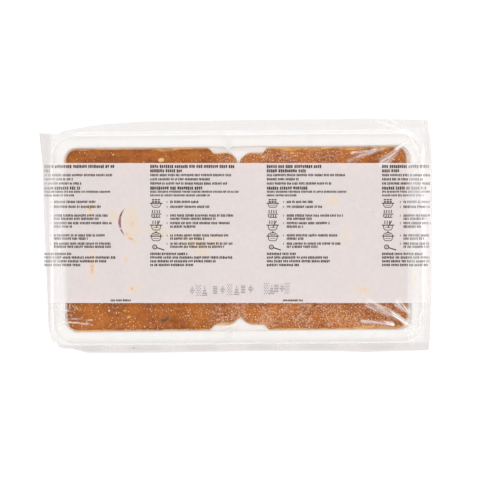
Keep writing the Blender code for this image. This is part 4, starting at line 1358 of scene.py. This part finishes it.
class Print:
    """Flat marks that follow the film, gathered as one mesh a hair thick.

    polygon takes metres, and the other calls take millimetres.
    """

    def __init__(self):
        self.skin = Skin()

    def polygon(self, outline):
        """A flat mark with straight edges, its outline anticlockwise."""
        outline = np.array(outline)
        height = film_height(outline[:, 0], outline[:, 1])
        low = self.skin.add(np.column_stack([outline, height + 0.02 * MM]))
        high = self.skin.add(np.column_stack([outline, height + 0.05 * MM]))
        self.skin.faces.extend([high, low[::-1]])
        self.skin.bridge(low, high, True, False)

    def bar(self, x, y, width, height):
        x, y, width, height = x * MM, y * MM, width * MM, height * MM
        self.polygon([(x, y), (x + width, y), (x + width, y + height), (x, y + height)])

    def stroke(self, points, width):
        """A line of even width through points."""
        points, width = [(x * MM, y * MM) for x, y in points], width * MM
        for (x0, y0), (x1, y1) in zip(points, points[1:]):
            length = math.hypot(x1 - x0, y1 - y0)
            side_x, side_y = -(y1 - y0) / length * width / 2, (x1 - x0) / length * width / 2
            self.polygon([(x0 - side_x, y0 - side_y), (x1 - side_x, y1 - side_y),
                          (x1 + side_x, y1 + side_y), (x0 + side_x, y0 + side_y)])

    def dot(self, x, y, radius):
        x, y, radius = x * MM, y * MM, radius * MM
        turns = [2 * math.pi * k / 8 for k in range(8)]
        self.polygon([(x + radius * math.cos(a), y + radius * math.sin(a)) for a in turns])

    def make(self, name, material):
        return self.skin.make(name, [material], 30)


def tick_row(marks, draw, left, right, y, height, weight):
    """A row of upright ticks in groups, from left to right."""
    x = left
    while x < right:
        for _ in range(draw.randint(*GROUP_TICKS)):
            width = draw.uniform(*TICK_WIDTHS) + weight * draw.uniform(*TICK_WEIGHTS)
            pitch = width + draw.uniform(*TICK_SPACES) + TICK_WEIGHT_SPACE * weight
            tall = height * draw.uniform(*TICK_HEIGHTS)
            if x + width > right:
                break
            marks.bar(x, y - height / 2 + draw.uniform(0, height - tall), width, tall)
            x += pitch
        x += height * GROUP_SPACE


def draw_pan(marks, x, rim, deep, width=8.2):
    """A pan seen from the side: a thick rim with two grips, a rounded bowl and a level."""
    marks.bar(x - 0.9, rim - 0.4, width + 1.8, 0.8)
    marks.stroke([(x + 0.5, rim), (x + 0.7, rim - deep * 0.6), (x + 1.7, rim - deep),
                  (x + width - 1.7, rim - deep), (x + width - 0.7, rim - deep * 0.6),
                  (x + width - 0.5, rim)], SIGN_LINE)
    marks.bar(x + 1.9, rim - deep * 0.55, width - 3.8, 0.4)


def draw_waves(marks, x, top, count, tall):
    """Short zigzags side by side, for steam or for water."""
    for k in range(count):
        left = x + 1.9 * k
        marks.stroke([(left, top), (left + 0.7, top - tall / 3), (left, top - 2 * tall / 3),
                      (left + 0.7, top - tall)], SIGN_LINE)


def draw_icon(marks, number, x, top):
    """Cooking signs of plain shapes: blocks in a pan, water, steam, a lid, a spoon."""
    if number == 0:
        for k in range(3):
            for row in range(2):
                marks.bar(x + 0.8 + 2.3 * k, top - 1.4 - 1.7 * row, 1.7, 1.1)
        draw_pan(marks, x, top - 3.7, 3.2)
    elif number == 1:
        draw_waves(marks, x + 0.8, top, 4, 2.6)
        marks.bar(x, top - 3.6, 8.4, 0.6)
        draw_waves(marks, x + 0.4, top - 3.9, 4, 1.8)
        marks.bar(x + 1.0, top - 6.2, 6.6, 0.6)
    elif number == 2:
        draw_waves(marks, x + 1.2, top, 3, 2.7)
        draw_pan(marks, x, top - 3.6, 3.9)
        marks.stroke([(x + 7.0, top), (x + 4.2, top - 5.4)], 0.7)
    elif number == 3:
        turns = [math.radians(180 - 20 * k) for k in range(10)]
        marks.stroke([(x + 4.1 + 3.7 * math.cos(a), top - 3.4 + 2.4 * math.sin(a))
                      for a in turns], SIGN_LINE)
        marks.bar(x + 3.5, top - 0.8, 1.2, 0.8)
        marks.bar(x + 2.0, top - 2.6, 4.2, 0.5)
        draw_pan(marks, x, top - 3.8, 3.7)
    elif number == 4:
        turns = [math.radians(30 * k) for k in range(13)]
        marks.stroke([(x + 3.0 + 1.7 * math.cos(a), top - 2.0 + 1.6 * math.sin(a))
                      for a in turns], 0.8)
        marks.bar(x + 2.6, top - 2.4, 0.9, 0.8)
        marks.stroke([(x + 4.8, top - 2.6), (x + 10.6, top - 4.4)], 0.9)


def make_print():
    """Rows, signs and code bars of the printed band."""
    draw = np.random.RandomState(PRINT_SEED)
    rows, signs, codes = Print(), Print(), Print()
    for column in COLUMNS:
        for (y, (height, weight)), end in zip(TITLE_ROWS, column["titles"]):
            tick_row(rows, draw, column["left"], end, y, height, weight)
        for y, starts, end in zip(STEP_ROWS, STEP_STARTS, column["step_ends"]):
            if starts:
                rows.bar(column["steps"] - 2.8, y - 0.8, 0.5, 1.5)
            tick_row(rows, draw, column["steps"], end, y, *PLAIN)
        for y, end in zip(CLOSING_ROWS, column["closing"]):
            tick_row(rows, draw, column["left"], end, y, *CLOSING)
        if column["icons"]:
            for number, top in enumerate(ICON_TOPS):
                draw_icon(signs, number, column["left"] + 0.6, top)
    for left, right in CODE_PLACES:
        tick_row(codes, draw, left, right, CODE_Y, *CODE)
    ink = ink_material("print_ink", srgb(58, 32, 12), 0.2)
    return [rows.make("printed_rows", ink), signs.make("printed_signs", ink),
            codes.make("printed_code_bars", ink)]


def dot_pattern(number, column, row):
    """Whether a dot falls on a place of the grid: a lozenge, a chequer, a wedge or a block."""
    rules = [
        abs(column - 2) + abs(row - 3) < 3,
        (column + row) % 2 == 0,
        abs(column - 2) < row / 2,
        0 < row < 6 and column < 4,
    ]
    return rules[number % len(rules)]


def make_dotted_line():
    """A sprayed line of grey dots in simple patterns."""
    marks = Print()
    number = 0
    for left, count, pitch in DOTTED_GROUPS:
        for place in range(count):
            for column in range(5):
                for row in range(7):
                    if dot_pattern(number, column, row):
                        x = left + place * pitch + column * DOT_PITCH[0]
                        y = DOTTED_Y + (3 - row) * DOT_PITCH[1] + x * DOTTED_SLOPE
                        marks.dot(x, y, DOT_RADIUS)
            number += 1
    marks.dot(*STRAY_DOT)
    return marks.make("sprayed_dots", ink_material("sprayed_ink", srgb(124, 118, 122), 0.5))


# Scene

def make_stage():
    """A large white floor that glows a little, so that it reads as a plain white table."""
    bpy.ops.mesh.primitive_circle_add(vertices=64, radius=4.0, fill_type="NGON",
                                      location=(0.0, 0.0, -0.2 * MM))
    floor = bpy.context.object
    floor.name = "floor"
    n = Shading("white_floor")
    glow = {"Emission Color": (1.0, 1.0, 1.0), "Emission Strength": 0.91}
    floor.data.materials.append(n.finish(n.principled((0.12, 0.12, 0.12), 0.9, **glow)))
    floor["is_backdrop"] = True


def make_world():
    """A white tent, darker straight above, where the camera looks in."""
    n = Shading("white_tent", bpy.data.worlds)
    place = n.add("ShaderNodeTexCoord").outputs["Generated"]
    height = n.add("ShaderNodeSeparateXYZ", {0: place}).outputs["Z"]
    strength = n.add("ShaderNodeMapRange", {
        "Value": height, "From Min": 0.80, "From Max": 0.97, "To Min": 0.86,
        "To Max": 0.25}).outputs["Result"]
    tent = n.add("ShaderNodeBackground", {"Color": (1.0, 1.0, 1.0), "Strength": strength})
    bpy.context.scene.world = n.finish(tent.outputs[0], "ShaderNodeOutputWorld")


def add_softbox(name, place, size, power):
    """A rectangular lamp at a place, aimed at the pack's middle."""
    lamp = bpy.data.lights.new(name, "AREA")
    lamp.shape = "RECTANGLE"
    lamp.size, lamp.size_y = size
    lamp.energy = power
    softbox = bpy.data.objects.new(name, lamp)
    softbox.location = place
    softbox.rotation_euler = (-Vector(place)).to_track_quat("-Z", "Y").to_euler()
    bpy.context.scene.collection.objects.link(softbox)


def make_camera():
    """The photograph's view, from straight above."""
    lens = bpy.data.cameras.new("camera")
    lens.lens = CAMERA_LENS
    lens.sensor_width = SENSOR
    lens.clip_end = 20.0
    camera = bpy.data.objects.new("camera", lens)
    camera.location = (*CAMERA_MIDDLE, PACK_TOP + CAMERA_ABOVE_FILM)
    bpy.context.scene.collection.objects.link(camera)
    bpy.context.scene.camera = camera


def main():
    bpy.context.scene.view_settings.view_transform = "Standard"
    make_camera()
    make_world()
    make_stage()
    for softbox in SOFTBOXES:
        add_softbox(*softbox)

    tray = make_tray()
    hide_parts("tray")

    soup = soup_material()
    blocks = [make_soup("soup_left", -1, soup), make_soup("soup_right", 1, soup)]
    for block, node in zip(blocks, ("soup_block_left", "soup_block_right")):
        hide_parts(node)

    surface = SoupSurface(blocks)
    frost = make_frost(surface)
    bits = make_bits(surface)

    film = make_film()
    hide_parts("film_wrap")
    marks = make_print() + [make_dotted_line()]

    for piece in [tray, frost, film] + blocks + bits + marks:
        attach(piece, "root")

    boxes = {"cad": cad_box, "visual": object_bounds()}
    plain = {name: [[float(v) for v in corner] for corner in box] for name, box in boxes.items()}


main()
